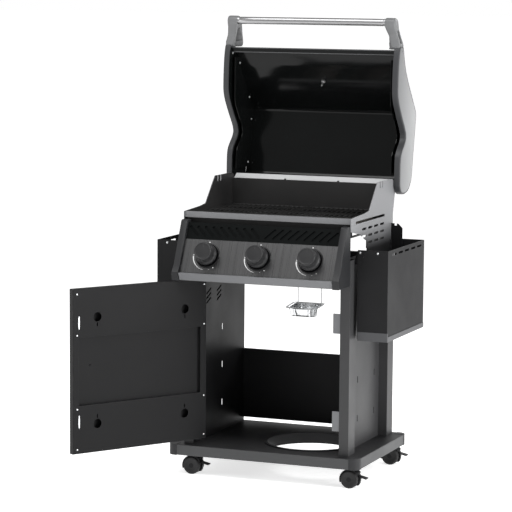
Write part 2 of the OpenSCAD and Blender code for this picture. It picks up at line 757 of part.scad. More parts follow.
module caster_brake(k) {
    pivot = [trail + 22, wheel_r + 11];
    color("#1b1c1d") at_caster(k) union() {
        translate([pivot.x + 3, 0, pivot.y + 1]) rotate([0, 12, 0]) translate([20, 0, 0]) cube([28, 22, 4], center = true);
        translate([pivot.x + 6, 0, pivot.y]) cube([12, wheel_gap - 4, 5], center = true);
        translate([pivot.x, 0, pivot.y]) rotate([90, 0, 0]) cylinder(r = 3.4, h = wheel_gap - 4, center = true);
    }
}

translate(home) bottom_shelf();
translate(home) base_skirt();
translate(home) corner_caps();
translate(home) side_panel_left();
translate(home) side_panel_right();
translate(home) rear_panel();
translate(home) support_rails();
translate(home) door_hinge_pins();
translate(home) magnet_catches();
translate(home) caster_stems();
translate(home) control_panel();
translate(home) panel_ends();
translate(home) trim_strip();
translate(home) vent_insert();
translate(home) knob_bezels();
translate(home) valve_bodies();
translate(home) gas_manifold();
translate(home) firebox();
translate(home) rear_flange();
translate(home) burners();
translate(home) sear_plates();
translate(home) cooking_grids();
translate(home) shelf_brackets_left();
translate(home) shelf_brackets_right();
translate(home) lid_hinge_pins();
translate(home) drip_pan();
translate(home) cup_hanger();
translate(home) foil_cup();
translate(home) lid_shell();
translate(home) lid_cap_left();
translate(home) lid_cap_right();
translate(home) lid_handle();
translate(home) thermometer();
translate(home) lid_bolts();
translate(home) door_skin();
translate(home) door_liner();
translate(home) door_fasteners();
translate(home) shelf_pan_left();
translate(home) shelf_trim_left();
translate(home) shelf_pan_right();
translate(home) shelf_trim_right();
for (i = [1:3]) {
    translate(home) valve_stem(i);
    translate(home) knob(i);
}
for (k = [1:4]) {
    translate(home) caster_fork(k);
    translate(home) caster_wheels(k);
    translate(home) caster_brake(k);
}
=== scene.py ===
import json
import math

import bmesh
import bpy
import numpy as np
from mathutils import Matrix, Vector


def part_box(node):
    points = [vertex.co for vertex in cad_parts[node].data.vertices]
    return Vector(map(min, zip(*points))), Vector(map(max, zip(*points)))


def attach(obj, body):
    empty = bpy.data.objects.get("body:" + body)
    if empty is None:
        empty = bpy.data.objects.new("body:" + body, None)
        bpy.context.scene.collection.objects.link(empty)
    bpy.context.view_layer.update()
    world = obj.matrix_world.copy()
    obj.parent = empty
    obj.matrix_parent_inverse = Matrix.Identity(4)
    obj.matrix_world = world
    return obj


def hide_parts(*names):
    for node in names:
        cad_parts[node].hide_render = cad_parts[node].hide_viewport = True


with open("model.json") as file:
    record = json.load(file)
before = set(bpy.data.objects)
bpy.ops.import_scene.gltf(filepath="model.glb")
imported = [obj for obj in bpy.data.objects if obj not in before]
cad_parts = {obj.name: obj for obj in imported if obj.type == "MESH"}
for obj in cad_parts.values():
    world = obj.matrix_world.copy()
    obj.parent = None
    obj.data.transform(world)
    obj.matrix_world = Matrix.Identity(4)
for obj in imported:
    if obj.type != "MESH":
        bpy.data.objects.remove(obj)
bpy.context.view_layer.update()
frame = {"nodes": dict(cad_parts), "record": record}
print("frame loaded:", len(frame["nodes"]), "parts")

# Every place below is given in millimetres from the middle of the base shelf, on the floor
shelfLow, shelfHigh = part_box("bottom_shelf")
baseX = (shelfLow.x + shelfHigh.x) / 2
baseY = (shelfLow.y + shelfHigh.y) / 2
mm = 0.001


def place(points):
    # Turns millimetres from the base's middle into the frame's metres
    return np.asarray(points, float) * mm + np.array([baseX, baseY, 0.0])


# ---- shader groups -------------------------------------------------------------------------

def newGroup(name, inputs, outputs):
    group = bpy.data.node_groups.new(name, "ShaderNodeTree")
    for label, kind, value in inputs:
        socket = group.interface.new_socket(label, in_out="INPUT", socket_type=kind)
        if value is not None:
            socket.default_value = value
    for label, kind in outputs:
        group.interface.new_socket(label, in_out="OUTPUT", socket_type=kind)
    start = group.nodes.new("NodeGroupInput")
    end = group.nodes.new("NodeGroupOutput")
    return group, start, end


def mathNode(tree, operation, a, b=None, clamp=False):
    node = tree.nodes.new("ShaderNodeMath")
    node.operation = operation
    node.use_clamp = clamp
    for index, value in enumerate((a, b)):
        if value is None:
            continue
        if isinstance(value, (int, float)):
            node.inputs[index].default_value = value
        else:
            tree.links.new(value, node.inputs[index])
    return node.outputs[0]


def objectCoords(tree):
    return tree.nodes.new("ShaderNodeTexCoord").outputs["Object"]


def noiseNode(tree, vector, scale, detail):
    node = tree.nodes.new("ShaderNodeTexNoise")
    node.inputs["Detail"].default_value = detail
    tree.links.new(vector, node.inputs["Vector"])
    if isinstance(scale, bpy.types.NodeSocket):
        tree.links.new(scale, node.inputs["Scale"])
    else:
        node.inputs["Scale"].default_value = scale
    return node.outputs["Fac"]


def bumpNode(tree, height, strength, distance):
    node = tree.nodes.new("ShaderNodeBump")
    node.inputs["Distance"].default_value = distance
    tree.links.new(height, node.inputs["Height"])
    tree.links.new(strength, node.inputs["Strength"])
    return node.outputs["Normal"]


def remapNode(tree, value, fromRange, toRange=(0.0, 1.0)):
    node = tree.nodes.new("ShaderNodeMapRange")
    for label, (low, high) in (("From", fromRange), ("To", toRange)):
        node.inputs[label + " Min"].default_value = low
        node.inputs[label + " Max"].default_value = high
    tree.links.new(value, node.inputs["Value"])
    return node.outputs["Result"]


def buildCoatGroup():
    # Powder coat: a fine pebbled skin, with a broad cloudiness under it
    group, start, end = newGroup("powderCoatSkin", [
        ("Grain Size", "NodeSocketFloat", 900.0),
        ("Grain Depth", "NodeSocketFloat", 0.1)], [
        ("Normal", "NodeSocketVector"),
        ("Speckle", "NodeSocketFloat"),
        ("Cloud", "NodeSocketFloat")])
    coords = objectCoords(group)
    fine = noiseNode(group, coords, start.outputs["Grain Size"], 3.0)
    broad = noiseNode(group, coords, 7.0, 4.0)
    normal = bumpNode(group, fine, start.outputs["Grain Depth"], 0.0004)
    for label, value in (("Normal", normal), ("Speckle", fine), ("Cloud", broad)):
        group.links.new(value, end.inputs[label])
    return group


def buildEdgeRubHighlightGroup():
    # Rubbed edges that also stand as painted edge highlights: where a rounded normal leaves the true one,
    # broken up by noise
    group, start, end = newGroup("edgeRubAndHighlight", [
        ("Reach", "NodeSocketFloat", 0.002),
        ("Amount", "NodeSocketFloat", 0.5)], [("Mask", "NodeSocketFloat")])
    links = group.links
    bevel = group.nodes.new("ShaderNodeBevel")
    bevel.samples = 4
    links.new(start.outputs["Reach"], bevel.inputs["Radius"])
    geometry = group.nodes.new("ShaderNodeNewGeometry")
    dot = group.nodes.new("ShaderNodeVectorMath")
    dot.operation = "DOT_PRODUCT"
    links.new(bevel.outputs["Normal"], dot.inputs[0])
    links.new(geometry.outputs["Normal"], dot.inputs[1])
    edge = mathNode(group, "SUBTRACT", 1.0, dot.outputs["Value"])
    edge = mathNode(group, "MULTIPLY", edge, 5.0, clamp=True)
    patch = mathNode(group, "SUBTRACT", noiseNode(group, objectCoords(group), 60.0, 5.0), 0.3)
    patch = mathNode(group, "MULTIPLY", patch, 2.2, clamp=True)
    mask = mathNode(group, "MULTIPLY", edge, patch)
    mask = mathNode(group, "MULTIPLY", mask, start.outputs["Amount"], clamp=True)
    links.new(mask, end.inputs["Mask"])
    return group


def buildBrushGroup():
    # Brushed metal: noise drawn out along one axis of the piece
    group, start, end = newGroup("brushedMetal", [
        ("Stretch", "NodeSocketVector", (2.0, 900.0, 900.0)),
        ("Depth", "NodeSocketFloat", 0.1)], [
        ("Normal", "NodeSocketVector"), ("Streak", "NodeSocketFloat")])
    scaled = group.nodes.new("ShaderNodeVectorMath")
    scaled.operation = "MULTIPLY"
    group.links.new(objectCoords(group), scaled.inputs[0])
    group.links.new(start.outputs["Stretch"], scaled.inputs[1])
    streak = noiseNode(group, scaled.outputs["Vector"], 1.0, 3.0)
    normal = bumpNode(group, streak, start.outputs["Depth"], 0.0002)
    group.links.new(normal, end.inputs["Normal"])
    group.links.new(streak, end.inputs["Streak"])
    return group


coatGroup = buildCoatGroup()
edgeRubHighlightGroup = buildEdgeRubHighlightGroup()
brushGroup = buildBrushGroup()


def useGroup(tree, group, **values):
    node = tree.nodes.new("ShaderNodeGroup")
    node.node_tree = group
    for label, value in values.items():
        node.inputs[label.replace("_", " ")].default_value = value
    return node


def mixColour(tree, factor, first, second):
    mix = tree.nodes.new("ShaderNodeMix")
    mix.data_type = "RGBA"
    tree.links.new(factor, mix.inputs[0])
    for socket, value in ((mix.inputs[6], first), (mix.inputs[7], second)):
        if isinstance(value, bpy.types.NodeSocket):
            tree.links.new(value, socket)
        else:
            socket.default_value = (*value, 1.0)
    return mix.outputs[2]


def spread(tree, factor, low, high):
    # Maps a 0 to 1 noise, mostly around its middle, onto a range
    return remapNode(tree, factor, (0.3, 0.7), (low, high))


def startMaterial(name, metallic=0.0):
    material = bpy.data.materials.new(name)
    material.use_nodes = True
    shader = material.node_tree.nodes["Principled BSDF"]
    shader.inputs["Metallic"].default_value = metallic
    return material, material.node_tree, shader


def taperMask(tree, axis, low, high):
    # 0 to 1 along one object axis, between two places in metres
    split = tree.nodes.new("ShaderNodeSeparateXYZ")
    tree.links.new(objectCoords(tree), split.inputs[0])
    return remapNode(tree, split.outputs[axis], (low, high))


def paint(name, dark, light, rough, grain=(900.0, 0.1), rubAndHighlight=0.3, rubbedAndLitTone=(0.16, 0.16, 0.165), gloss=0.3,
          taper=None):
    # A coated or moulded surface: two close tones, a rough range, a skin, and rubbed edges that are also
    # painted edge highlights
    material, tree, shader = startMaterial(name)
    shader.inputs["Specular IOR Level"].default_value = gloss
    skin = useGroup(tree, coatGroup, Grain_Size=grain[0], Grain_Depth=grain[1])
    edge = useGroup(tree, edgeRubHighlightGroup, Reach=0.0018, Amount=rubAndHighlight)
    tone = mixColour(tree, skin.outputs["Cloud"], dark, light)
    # An optional taper paints light or shade: a given tone ramped in along one object axis
    if taper:
        tone = mixColour(tree, taperMask(tree, *taper[:3]), taper[3], tone)
    tone = mixColour(tree, edge.outputs["Mask"], tone, rubbedAndLitTone)
    tree.links.new(tone, shader.inputs["Base Color"])
    tree.links.new(spread(tree, skin.outputs["Cloud"], *rough), shader.inputs["Roughness"])
    tree.links.new(skin.outputs["Normal"], shader.inputs["Normal"])
    return material


def metal(name, dark, light, rough, stretch=(2.0, 900.0, 900.0), depth=0.1):
    # Bare metal: tone and roughness follow the brushing
    material, tree, shader = startMaterial(name, metallic=1.0)
    brush = useGroup(tree, brushGroup, Stretch=stretch, Depth=depth)
    tree.links.new(mixColour(tree, brush.outputs["Streak"], dark, light), shader.inputs["Base Color"])
    tree.links.new(spread(tree, brush.outputs["Streak"], *rough), shader.inputs["Roughness"])
    tree.links.new(brush.outputs["Normal"], shader.inputs["Normal"])
    return material


blackCoat = paint("blackPowderCoat", (0.006, 0.006, 0.0065), (0.010, 0.010, 0.011), (0.42, 0.52), gloss=0.14)
doorCoat = paint("doorPowderCoat", (0.007, 0.007, 0.0075), (0.010, 0.010, 0.0105), (0.42, 0.50),
                 (1100.0, 0.08), gloss=0.13)
shelfCoat = paint("shelfPowderCoat", (0.008, 0.008, 0.0085), (0.013, 0.013, 0.014), (0.45, 0.56),
                  (700.0, 0.25), gloss=0.16)
cartGrey = paint("cartGreyCoat", (0.032, 0.032, 0.033), (0.044, 0.044, 0.046), (0.42, 0.52), gloss=0.35)
baseCoat = paint("baseGreyCoat", (0.042, 0.043, 0.044), (0.056, 0.057, 0.059), (0.42, 0.55), gloss=0.4)
shelfTop = paint("shelfTopCoat", (0.012, 0.012, 0.013), (0.020, 0.020, 0.021), (0.38, 0.48), gloss=0.2)
panelCoat = metal("darkBrushedPanel", (0.12, 0.12, 0.121), (0.18, 0.18, 0.182), (0.26, 0.34),
                  (900.0, 3.0, 3.0), 0.06)
ventPlastic = paint("ventPlastic", (0.003, 0.0035, 0.0035), (0.005, 0.006, 0.006), (0.35, 0.45),
                    (1400.0, 0.05), 0.0, gloss=0.06)
enamel = paint("blackEnamel", (0.003, 0.0035, 0.0035), (0.005, 0.0055, 0.0055), (0.10, 0.15), (260.0, 0.03),
               0.0, gloss=0.22)
# The firebox grey darkens to near black from 0.865 m down to 0.79 m: painted shade on the lower walls
boxCoat = paint("fireboxGrey", (0.17, 0.172, 0.178), (0.21, 0.212, 0.22), (0.38, 0.48), (900.0, 0.12), 0.1,
                taper=(2, 0.79, 0.865, (0.012, 0.012, 0.0125)))
boxInside = paint("fireboxInside", (0.012, 0.012, 0.012), (0.028, 0.027, 0.027), (0.45, 0.62), (320.0, 0.35),
                  0.15)
# The cap silver turns paler towards the rear, over Y from 0.33 m to 0.50 m: a painted highlight
capSilver = paint("capSilver", (0.13, 0.132, 0.135), (0.16, 0.162, 0.165), (0.28, 0.36), (1500.0, 0.08), 0.0,
                  taper=(1, 0.50, 0.33, (0.30, 0.303, 0.307)))
armPaint = paint("armGrey", (0.13, 0.132, 0.135), (0.17, 0.172, 0.175), (0.30, 0.40), (1200.0, 0.08), 0.0)
# Paler grey for the hem beads on the black enamel lid: a painted highlight
beadHighlightPaint = paint("hemPaintedHighlight", (0.06, 0.061, 0.063), (0.09, 0.091, 0.094), (0.30, 0.40), (900.0, 0.05), 0.0)
# Pale paint for the shelf bracket's flange: a painted reflection of bright light
flangeReflectionCoat = paint("flangePaintedReflection", (0.50, 0.505, 0.51), (0.60, 0.605, 0.61), (0.35, 0.45), (700.0, 0.1), 0.1)
capRimPaint = paint("capRim", (0.030, 0.031, 0.033), (0.042, 0.043, 0.046), (0.40, 0.50), (800.0, 0.3), 0.2)
darkPlastic = paint("darkPlastic", (0.014, 0.0145, 0.016), (0.022, 0.0225, 0.024), (0.40, 0.50),
                    (1200.0, 0.15), 0.2)
blackPlastic = paint("blackPlastic", (0.007, 0.007, 0.0075), (0.011, 0.011, 0.012), (0.33, 0.42),
                     (1000.0, 0.12), 0.15, gloss=0.15)
knobPlastic = paint("knobPlastic", (0.018, 0.018, 0.019), (0.026, 0.026, 0.027), (0.34, 0.44), (1300.0, 0.12),
                    0.25)
glossPlastic = paint("glossPlastic", (0.004, 0.004, 0.0045), (0.006, 0.006, 0.0065), (0.12, 0.2),
                     (900.0, 0.03), 0.0)
trimPlastic = paint("trimGrey", (0.15, 0.153, 0.16), (0.18, 0.183, 0.19), (0.35, 0.45), (1300.0, 0.1), 0.1)
shelfTrim = paint("shelfTrimGrey", (0.055, 0.056, 0.059), (0.072, 0.073, 0.077), (0.35, 0.45), (1300.0, 0.1),
                  0.1)
castIron = paint("castIron", (0.008, 0.008, 0.008), (0.017, 0.0165, 0.016), (0.45, 0.62), (420.0, 0.55), 0.2)
rubber = paint("casterRubber", (0.010, 0.010, 0.011), (0.016, 0.016, 0.016), (0.50, 0.62), (800.0, 0.2), 0.1,
               (0.04, 0.04, 0.04))
printWhite = paint("printWhite", (0.80, 0.80, 0.80), (0.86, 0.86, 0.86), (0.45, 0.55), (900.0, 0.02), 0.0)
dialWhite = paint("dialWhite", (0.70, 0.70, 0.69), (0.76, 0.76, 0.75), (0.35, 0.45), (900.0, 0.02), 0.0)
# Black for the dial's printed strokes, and for the burner ports as painted shade in their holes
markAndPortShadeBlack = paint("markAndPortShadeBlack", (0.006, 0.006, 0.006), (0.010, 0.010, 0.010), (0.45, 0.55), (900.0, 0.02), 0.0)
needleRed = paint("needleRed", (0.30, 0.012, 0.008), (0.36, 0.018, 0.012), (0.30, 0.40), (900.0, 0.02), 0.0)
stainless = metal("brushedStainless", (0.46, 0.46, 0.465), (0.56, 0.56, 0.565), (0.22, 0.32))
barSteel = metal("satinBar", (0.32, 0.32, 0.325), (0.40, 0.40, 0.405), (0.28, 0.38))
burnerSteel = metal("heatedSteel", (0.30, 0.26, 0.22), (0.55, 0.52, 0.49), (0.32, 0.50), (90.0, 6.0, 90.0),
                    0.2)
zinc = metal("zincPlate", (0.60, 0.61, 0.62), (0.72, 0.73, 0.74), (0.24, 0.38), (60.0, 60.0, 60.0), 0.08)
brass = metal("machinedBrass", (0.55, 0.40, 0.17), (0.68, 0.52, 0.25), (0.25, 0.38), (400.0, 60.0, 60.0),
              0.08)
foilMetal = metal("crinkledFoil", (0.62, 0.63, 0.64), (0.76, 0.77, 0.78), (0.16, 0.28), (160.0, 160.0, 160.0),
                  0.6)
print("materials made")

# ---- mesh helpers --------------------------------------------------------------------------

bodyOf = {node: body for body, nodes in frame["record"]["behaviour"]["bodies"].items() for node in nodes}


def unit(vectors):
    return vectors / np.linalg.norm(vectors, axis=-1, keepdims=True)


def shadeSmooth(mesh, angle=35.0):
    # Smooth shading that keeps edges sharper than the angle
    mesh.polygons.foreach_set("use_smooth", np.ones(len(mesh.polygons), bool))
    work = bmesh.new()
    work.from_mesh(mesh)
    limit = math.radians(angle)
    for edge in work.edges:
        edge.smooth = len(edge.link_faces) == 2 and edge.calc_face_angle(0.0) < limit
    work.to_mesh(mesh)
    work.free()


def addObject(name, data):
    made = bpy.data.objects.new(name, data)
    bpy.context.scene.collection.objects.link(made)
    return made


def addPiece(name, mesh, body, material, nodes=()):
    piece = addObject(name, mesh)
    for one in material if isinstance(material, (list, tuple)) else [material]:
        mesh.materials.append(one)
    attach(piece, body)
    if nodes:
        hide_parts(*nodes)
    return piece


def roll(piece, width=0.5, segments=2, angle=30.0):
    # Rounds a piece's edges, in millimetres
    bevel = piece.modifiers.new("rolledEdges", "BEVEL")
    bevel.width = width * mm
    bevel.segments = segments
    bevel.limit_method = "ANGLE"
    bevel.angle_limit = math.radians(angle)
    bevel.harden_normals = True
    return piece


def sheetCopy(node, material, width=0.5, choose=None):
    # A folded sheet part with its seams merged and its edges rolled over
    work = bmesh.new()
    work.from_mesh(frame["nodes"][node].data)
    bmesh.ops.remove_doubles(work, verts=work.verts, dist=1e-6)
    bmesh.ops.dissolve_limit(work, angle_limit=math.radians(0.5), verts=work.verts, edges=work.edges)
    mesh = bpy.data.meshes.new(node + "Sheet")
    work.to_mesh(mesh)
    work.free()
    if choose:
        count = len(mesh.polygons)
        centres = np.empty(count * 3)
        normals = np.empty(count * 3)
        mesh.polygons.foreach_get("center", centres)
        mesh.polygons.foreach_get("normal", normals)
        centres = (centres.reshape(-1, 3) - [baseX, baseY, 0.0]) / mm
        marks = np.zeros(count, int)
        marks[choose(centres, normals.reshape(-1, 3))] = 1
        mesh.polygons.foreach_set("material_index", marks)
    shadeSmooth(mesh)
    piece = addPiece(node + "_sheet", mesh, bodyOf[node], material, [node])
    return roll(piece, width)


def grid(points, wrapRows=False, wrapCols=False, capStart=False, capEnd=False):
    # Quads over a rows by columns array of points, with flat faces over its first and last rows
    rows, cols = points.shape[:2]
    ids = np.arange(rows * cols).reshape(rows, cols)
    wide = np.concatenate([ids, ids[:1]]) if wrapRows else ids
    wide = np.concatenate([wide, wide[:, :1]], axis=1) if wrapCols else wide
    quads = np.stack([wide[:-1, :-1], wide[:-1, 1:], wide[1:, 1:], wide[1:, :-1]], axis=-1)
    faces = [quads.reshape(-1, 4)]
    if capStart:
        faces.append(ids[:1, ::-1])
    if capEnd:
        faces.append(ids[-1:])
    return points.reshape(-1, 3), faces


def meshOf(name, parts, angle=35.0, marks=None):
    # Joins grids into one mesh with outward normals; marks gives each grid's material number
    points, faces, numbers, start = [], [], [], 0
    for index, (spots, groups) in enumerate(parts):
        for group in groups:
            faces += (group + start).tolist()
            numbers += [marks[index] if marks else 0] * len(group)
        points.append(spots)
        start += len(spots)
    mesh = bpy.data.meshes.new(name)
    mesh.from_pydata(place(np.concatenate(points)).tolist(), [], faces)
    mesh.polygons.foreach_set("material_index", np.array(numbers, int))
    work = bmesh.new()
    work.from_mesh(mesh)
    bmesh.ops.recalc_face_normals(work, faces=work.faces)
    work.to_mesh(mesh)
    work.free()
    shadeSmooth(mesh, angle)
    return mesh


def across(outline, xs, insets=None):
    # A closed (Y, Z) outline drawn along X through the given places
    rings = insets if insets is not None else [outline] * len(xs)
    stack = [np.column_stack([np.full(len(ring), x), ring]) for x, ring in zip(xs, rings)]
    return grid(np.array(stack), wrapCols=True, capStart=True, capEnd=True)


def tube(path, radius, sides=10, flat=1.0, upright=(0.0, 0.0, 1.0)):
    # A rod along a path: at each point a circle, or an ellipse, square to the path
    path = np.asarray(path, float)
    along = unit(np.gradient(path, axis=0))
    side = unit(np.cross(along, upright))
    lift = np.cross(side, along)
    turn = np.linspace(0, 2 * np.pi, sides, endpoint=False)[None, :, None]
    ring = side[:, None] * np.cos(turn) * flat + lift[:, None] * np.sin(turn)
    return grid(path[:, None] + radius * ring, wrapCols=True, capStart=True, capEnd=True)


def lathe(profile, centre, axis, sides=48, flutes=(0, 0.0, 0.0, 0.0)):
    # Turns a (radius, height) profile about an axis; flutes ripple the radius between two heights
    axis = unit(np.asarray(axis, float))
    helper = np.array([1.0, 0.0, 0.0]) if abs(axis[0]) < 0.9 else np.array([0.0, 0.0, 1.0])
    side = unit(np.cross(helper, axis))
    lift = np.cross(axis, side)
    profile = np.asarray(profile, float)
    turn = np.linspace(0, 2 * np.pi, sides, endpoint=False)
    count, depth, low, high = flutes
    inside = ((profile[:, 1] > low) & (profile[:, 1] < high)).astype(float)
    radius = profile[:, :1] + depth * inside[:, None] * (np.cos(count * turn)[None] - 1)
    ring = side * np.cos(turn)[:, None] + lift * np.sin(turn)[:, None]
    points = np.asarray(centre, float) + profile[:, 1][:, None, None] * axis + radius[:, :, None] * ring
    return grid(points, wrapCols=True, capStart=True, capEnd=True)


def cutCorners(loop, rounds=1, closed=True):
    # Each round replaces a corner by two points a quarter of the way along its edges
    loop = np.asarray(loop, float)
    for _ in range(rounds):
        after = np.roll(loop, -1, axis=0)
        pairs = np.stack([loop * 0.75 + after * 0.25, loop * 0.25 + after * 0.75], axis=1)
        if closed:
            loop = pairs.reshape(-1, 2)
        else:
            loop = np.concatenate([loop[:1], pairs[:-1].reshape(-1, 2), loop[-1:]])
    return loop


def leftOf(vectors):
    return np.stack([-vectors[:, 1], vectors[:, 0]], axis=1)


def crossings(starts, rays, loop):
    # How far each ray goes before each edge of a closed loop; infinite where it misses
    a = loop[None]
    edge = (np.roll(loop, -1, axis=0) - loop)[None]
    rays = rays[:, None]
    gap = a - starts[:, None]
    det = rays[..., 0] * edge[..., 1] - rays[..., 1] * edge[..., 0]
    det = np.where(np.abs(det) < 1e-9, 1e-9, det)
    t = (gap[..., 0] * edge[..., 1] - gap[..., 1] * edge[..., 0]) / det
    u = (gap[..., 0] * rays[..., 1] - gap[..., 1] * rays[..., 0]) / det
    return np.where((u >= -1e-6) & (u <= 1 + 1e-6) & (t > 0.5), t, np.inf)


def insetLoop(loop, distance):
    # A closed outline moved inwards, never past two fifths of its width there
    after = unit(np.roll(loop, -1, axis=0) - loop)
    before = np.roll(after, 1, axis=0)
    area = np.sum(loop[:, 0] * np.roll(loop[:, 1], -1) - np.roll(loop[:, 0], -1) * loop[:, 1])
    sign = 1.0 if area > 0 else -1.0
    inward = unit(leftOf(after) + leftOf(before)) * sign
    width = crossings(loop, inward, loop).min(axis=1)
    width = np.minimum(width, 400.0)
    for _ in range(6):
        width = (np.roll(width, 1) + width + np.roll(width, -1)) / 3
    return loop + inward * np.minimum(distance, 0.4 * width)[:, None]


def polarLoop(loop, centre, angles):
    # A loop seen from a point inside it, as its distance at each angle
    rays = np.stack([np.cos(angles), np.sin(angles)], axis=1)
    reach = crossings(np.repeat([centre], len(angles), axis=0), rays, loop).min(axis=1)
    return np.asarray(centre) + rays * reach[:, None]


def dress(node, *materials):
    # Gives a carried-over CAD part its finish
    data = frame["nodes"][node].data
    data.materials.clear()
    for material in materials:
        data.materials.append(material)


# ---- control face --------------------------------------------------------------------------

faceOrigin = np.array([0.0, -320.0, 713.0])
faceTilt = math.radians(65)
faceUp = np.array([0.0, math.cos(faceTilt), math.sin(faceTilt)])
faceOut = np.array([0.0, -math.sin(faceTilt), math.cos(faceTilt)])


def onFace(points):
    # Points given across, up the slope and outwards
    points = np.asarray(points, float)
    return (faceOrigin + points[..., :1] * [1.0, 0.0, 0.0]
            + points[..., 1:2] * faceUp + points[..., 2:3] * faceOut)


# ---- lid -----------------------------------------------------------------------------------

lidSpec = {
    "outline": [[203, 992], [206, 976], [222, 955], [260, 950], [305, 960], [334, 990], [343, 1014],
                [356, 1095], [381, 1215], [380, 1230], [371, 1245], [266, 1369], [242, 1427],
                [233, 1462], [222, 1470], [196, 1470], [186, 1462], [174, 1421], [168, 1348],
                [168, 1288], [214, 1223], [261, 1168], [264, 1142], [214, 1101], [204, 1071]],
    "arm": [[183, 1456.6], [190, 1497], [172, 1532], [167, 1550], [172, 1562], [184, 1567], [198, 1566],
            [208, 1558], [216, 1545], [226, 1500], [236, 1456.6]],
    "skin": [[200, 1454], [229, 1456], [236, 1427], [262, 1367], [367, 1243], [377, 1228],
             [377, 1214], [352, 1095], [343, 1030], [338, 1004], [326, 990], [300, 976], [270, 966]],
    "sheet": 2.0,
    "hem": [[199.4, 1438.0], [201.6, 1438.0], [201.6, 1453.0], [199.4, 1453.0]],
    "beads": [(200.2, 1438.6, 1.5), (200.2, 1453.2, 1.7)],
    "sideSheet": (304.1, 305.9),
    "sideTop": 1454.0,
    "liner": (291.0, 292.6),
    "linerEdge": (196.0, 1022.0, 1420.0),  # rear, foot and top
    "capInner": 306.0,
    # X above, how far it runs out, from which height, over which drop
    "armInner": (275.0, 22.0, 1538.0, 73.0),
    "armOuter": (311.0, 13.5, 1530.0, 60.0),
    "armFront": 218.0,
    "bar": (184.0, 1550.0),
    "barHalf": 274.8,
    "window": (208.0, 1500.0, 50.0, 20.0, 104.0),  # Y, Z, length, width and tilt
    "boltProfile": [(4.4, 0), (4.4, 0.7), (3.6, 0.8), (3.3, 1.8), (2.4, 2.6), (0.4, 2.95)],
    "bolts": [[205, 1434, 304], [240, 1398, 291], [332, 1272, 291], [352, 1192, 291], [322, 1038, 291]],
}


def buildCaps():
    # Cast end caps: a rounded dark rim, a fine groove, then a crowned silver face
    outline = cutCorners(lidSpec["outline"], 2)
    inner = lidSpec["capInner"]
    steps = [(0.0, 0.2), (0.0, 15.5), (0.5, 18.0), (1.8, 19.8), (3.6, 20.4), (4.6, 20.2), (5.0, 19.6),
             (5.8, 19.6), (6.2, 20.2), (9.0, 20.7), (14.0, 20.95), (20.0, 21.0)]
    rings = [insetLoop(outline, inset) if inset else outline for inset, _ in steps]
    for sign, name in ((-1, "left"), (1, "right")):
        xs = [sign * (inner + depth) for _, depth in steps]
        rim = across(None, xs[:9], rings[:9])
        rim = (rim[0], rim[1][:2])
        face = across(None, xs[8:], rings[8:])
        face = (face[0], [face[1][0], face[1][2]])
        mesh = meshOf(name + "Cap", [rim, face, buildArm(sign)], 40.0, [0, 1, 2])
        addPiece("lid_cap_" + name + "_casting", mesh, "lid",
                 [capRimPaint, capSilver, armPaint],
                 ["lid_cap_" + name])


def buildArm(sign):
    # Handle arm: a loop around the window, whose inner side runs out to the cap below the bar
    y, z, long, wide, tilt = lidSpec["window"]
    angles = np.linspace(0, 2 * np.pi, 96, endpoint=False)
    outer = polarLoop(cutCorners(lidSpec["arm"], 2), (y, z), angles)
    bend = angles - math.radians(tilt)
    flat = np.stack([np.cos(bend), np.sin(bend)], axis=1)
    half = (long - wide) / 2
    # Round-ended slot: a half width, or the far circle's reach where the ray leaves through an end
    side = wide / 2 / np.maximum(np.abs(flat[:, 1]), 1e-6)
    along = np.abs(flat[:, 0])
    cap = along * half + np.sqrt(np.maximum((along * half) ** 2 - half ** 2 + (wide / 2) ** 2, 0))
    reach = np.where(side * along < half, side, cap)
    hole = np.array([y, z]) + np.stack([np.cos(angles), np.sin(angles)], axis=1) * reach[:, None]

    def innerX(loop):
        # The front plate runs out to the cap below the bar; the rear plate keeps its width
        start, out, top, drop = lidSpec["armInner"]
        ahead = np.clip((lidSpec["armFront"] - loop[:, 0]) / 4.0, 0, 1)
        return start + out * ahead * np.clip((top - loop[:, 1]) / drop, 0, 1)

    def outerX(loop):
        start, out, top, drop = lidSpec["armOuter"]
        return start + out * np.clip((top - loop[:, 1]) / drop, 0, 1)

    def shrunk(loop, amount):
        return loop + unit(np.array([y, z]) - loop) * amount

    def ring(loop, x):
        return np.column_stack([np.broadcast_to(x, len(loop)) * sign, loop])

    near, far, nearHole, farHole = innerX(outer), outerX(outer), innerX(hole), outerX(hole)
    rows = [ring(shrunk(outer, 2.0), near), ring(shrunk(outer, 0.6), near + 0.6), ring(outer, near + 2.2),
            ring(outer, far - 3.0), ring(shrunk(outer, 0.8), far - 0.9), ring(shrunk(outer, 2.6), far),
            ring(shrunk(hole, -1.2), farHole), ring(hole, farHole - 1.2), ring(hole, nearHole + 1.2),
            ring(shrunk(hole, -1.2), nearHole)]
    return grid(np.array(rows), wrapRows=True, wrapCols=True)


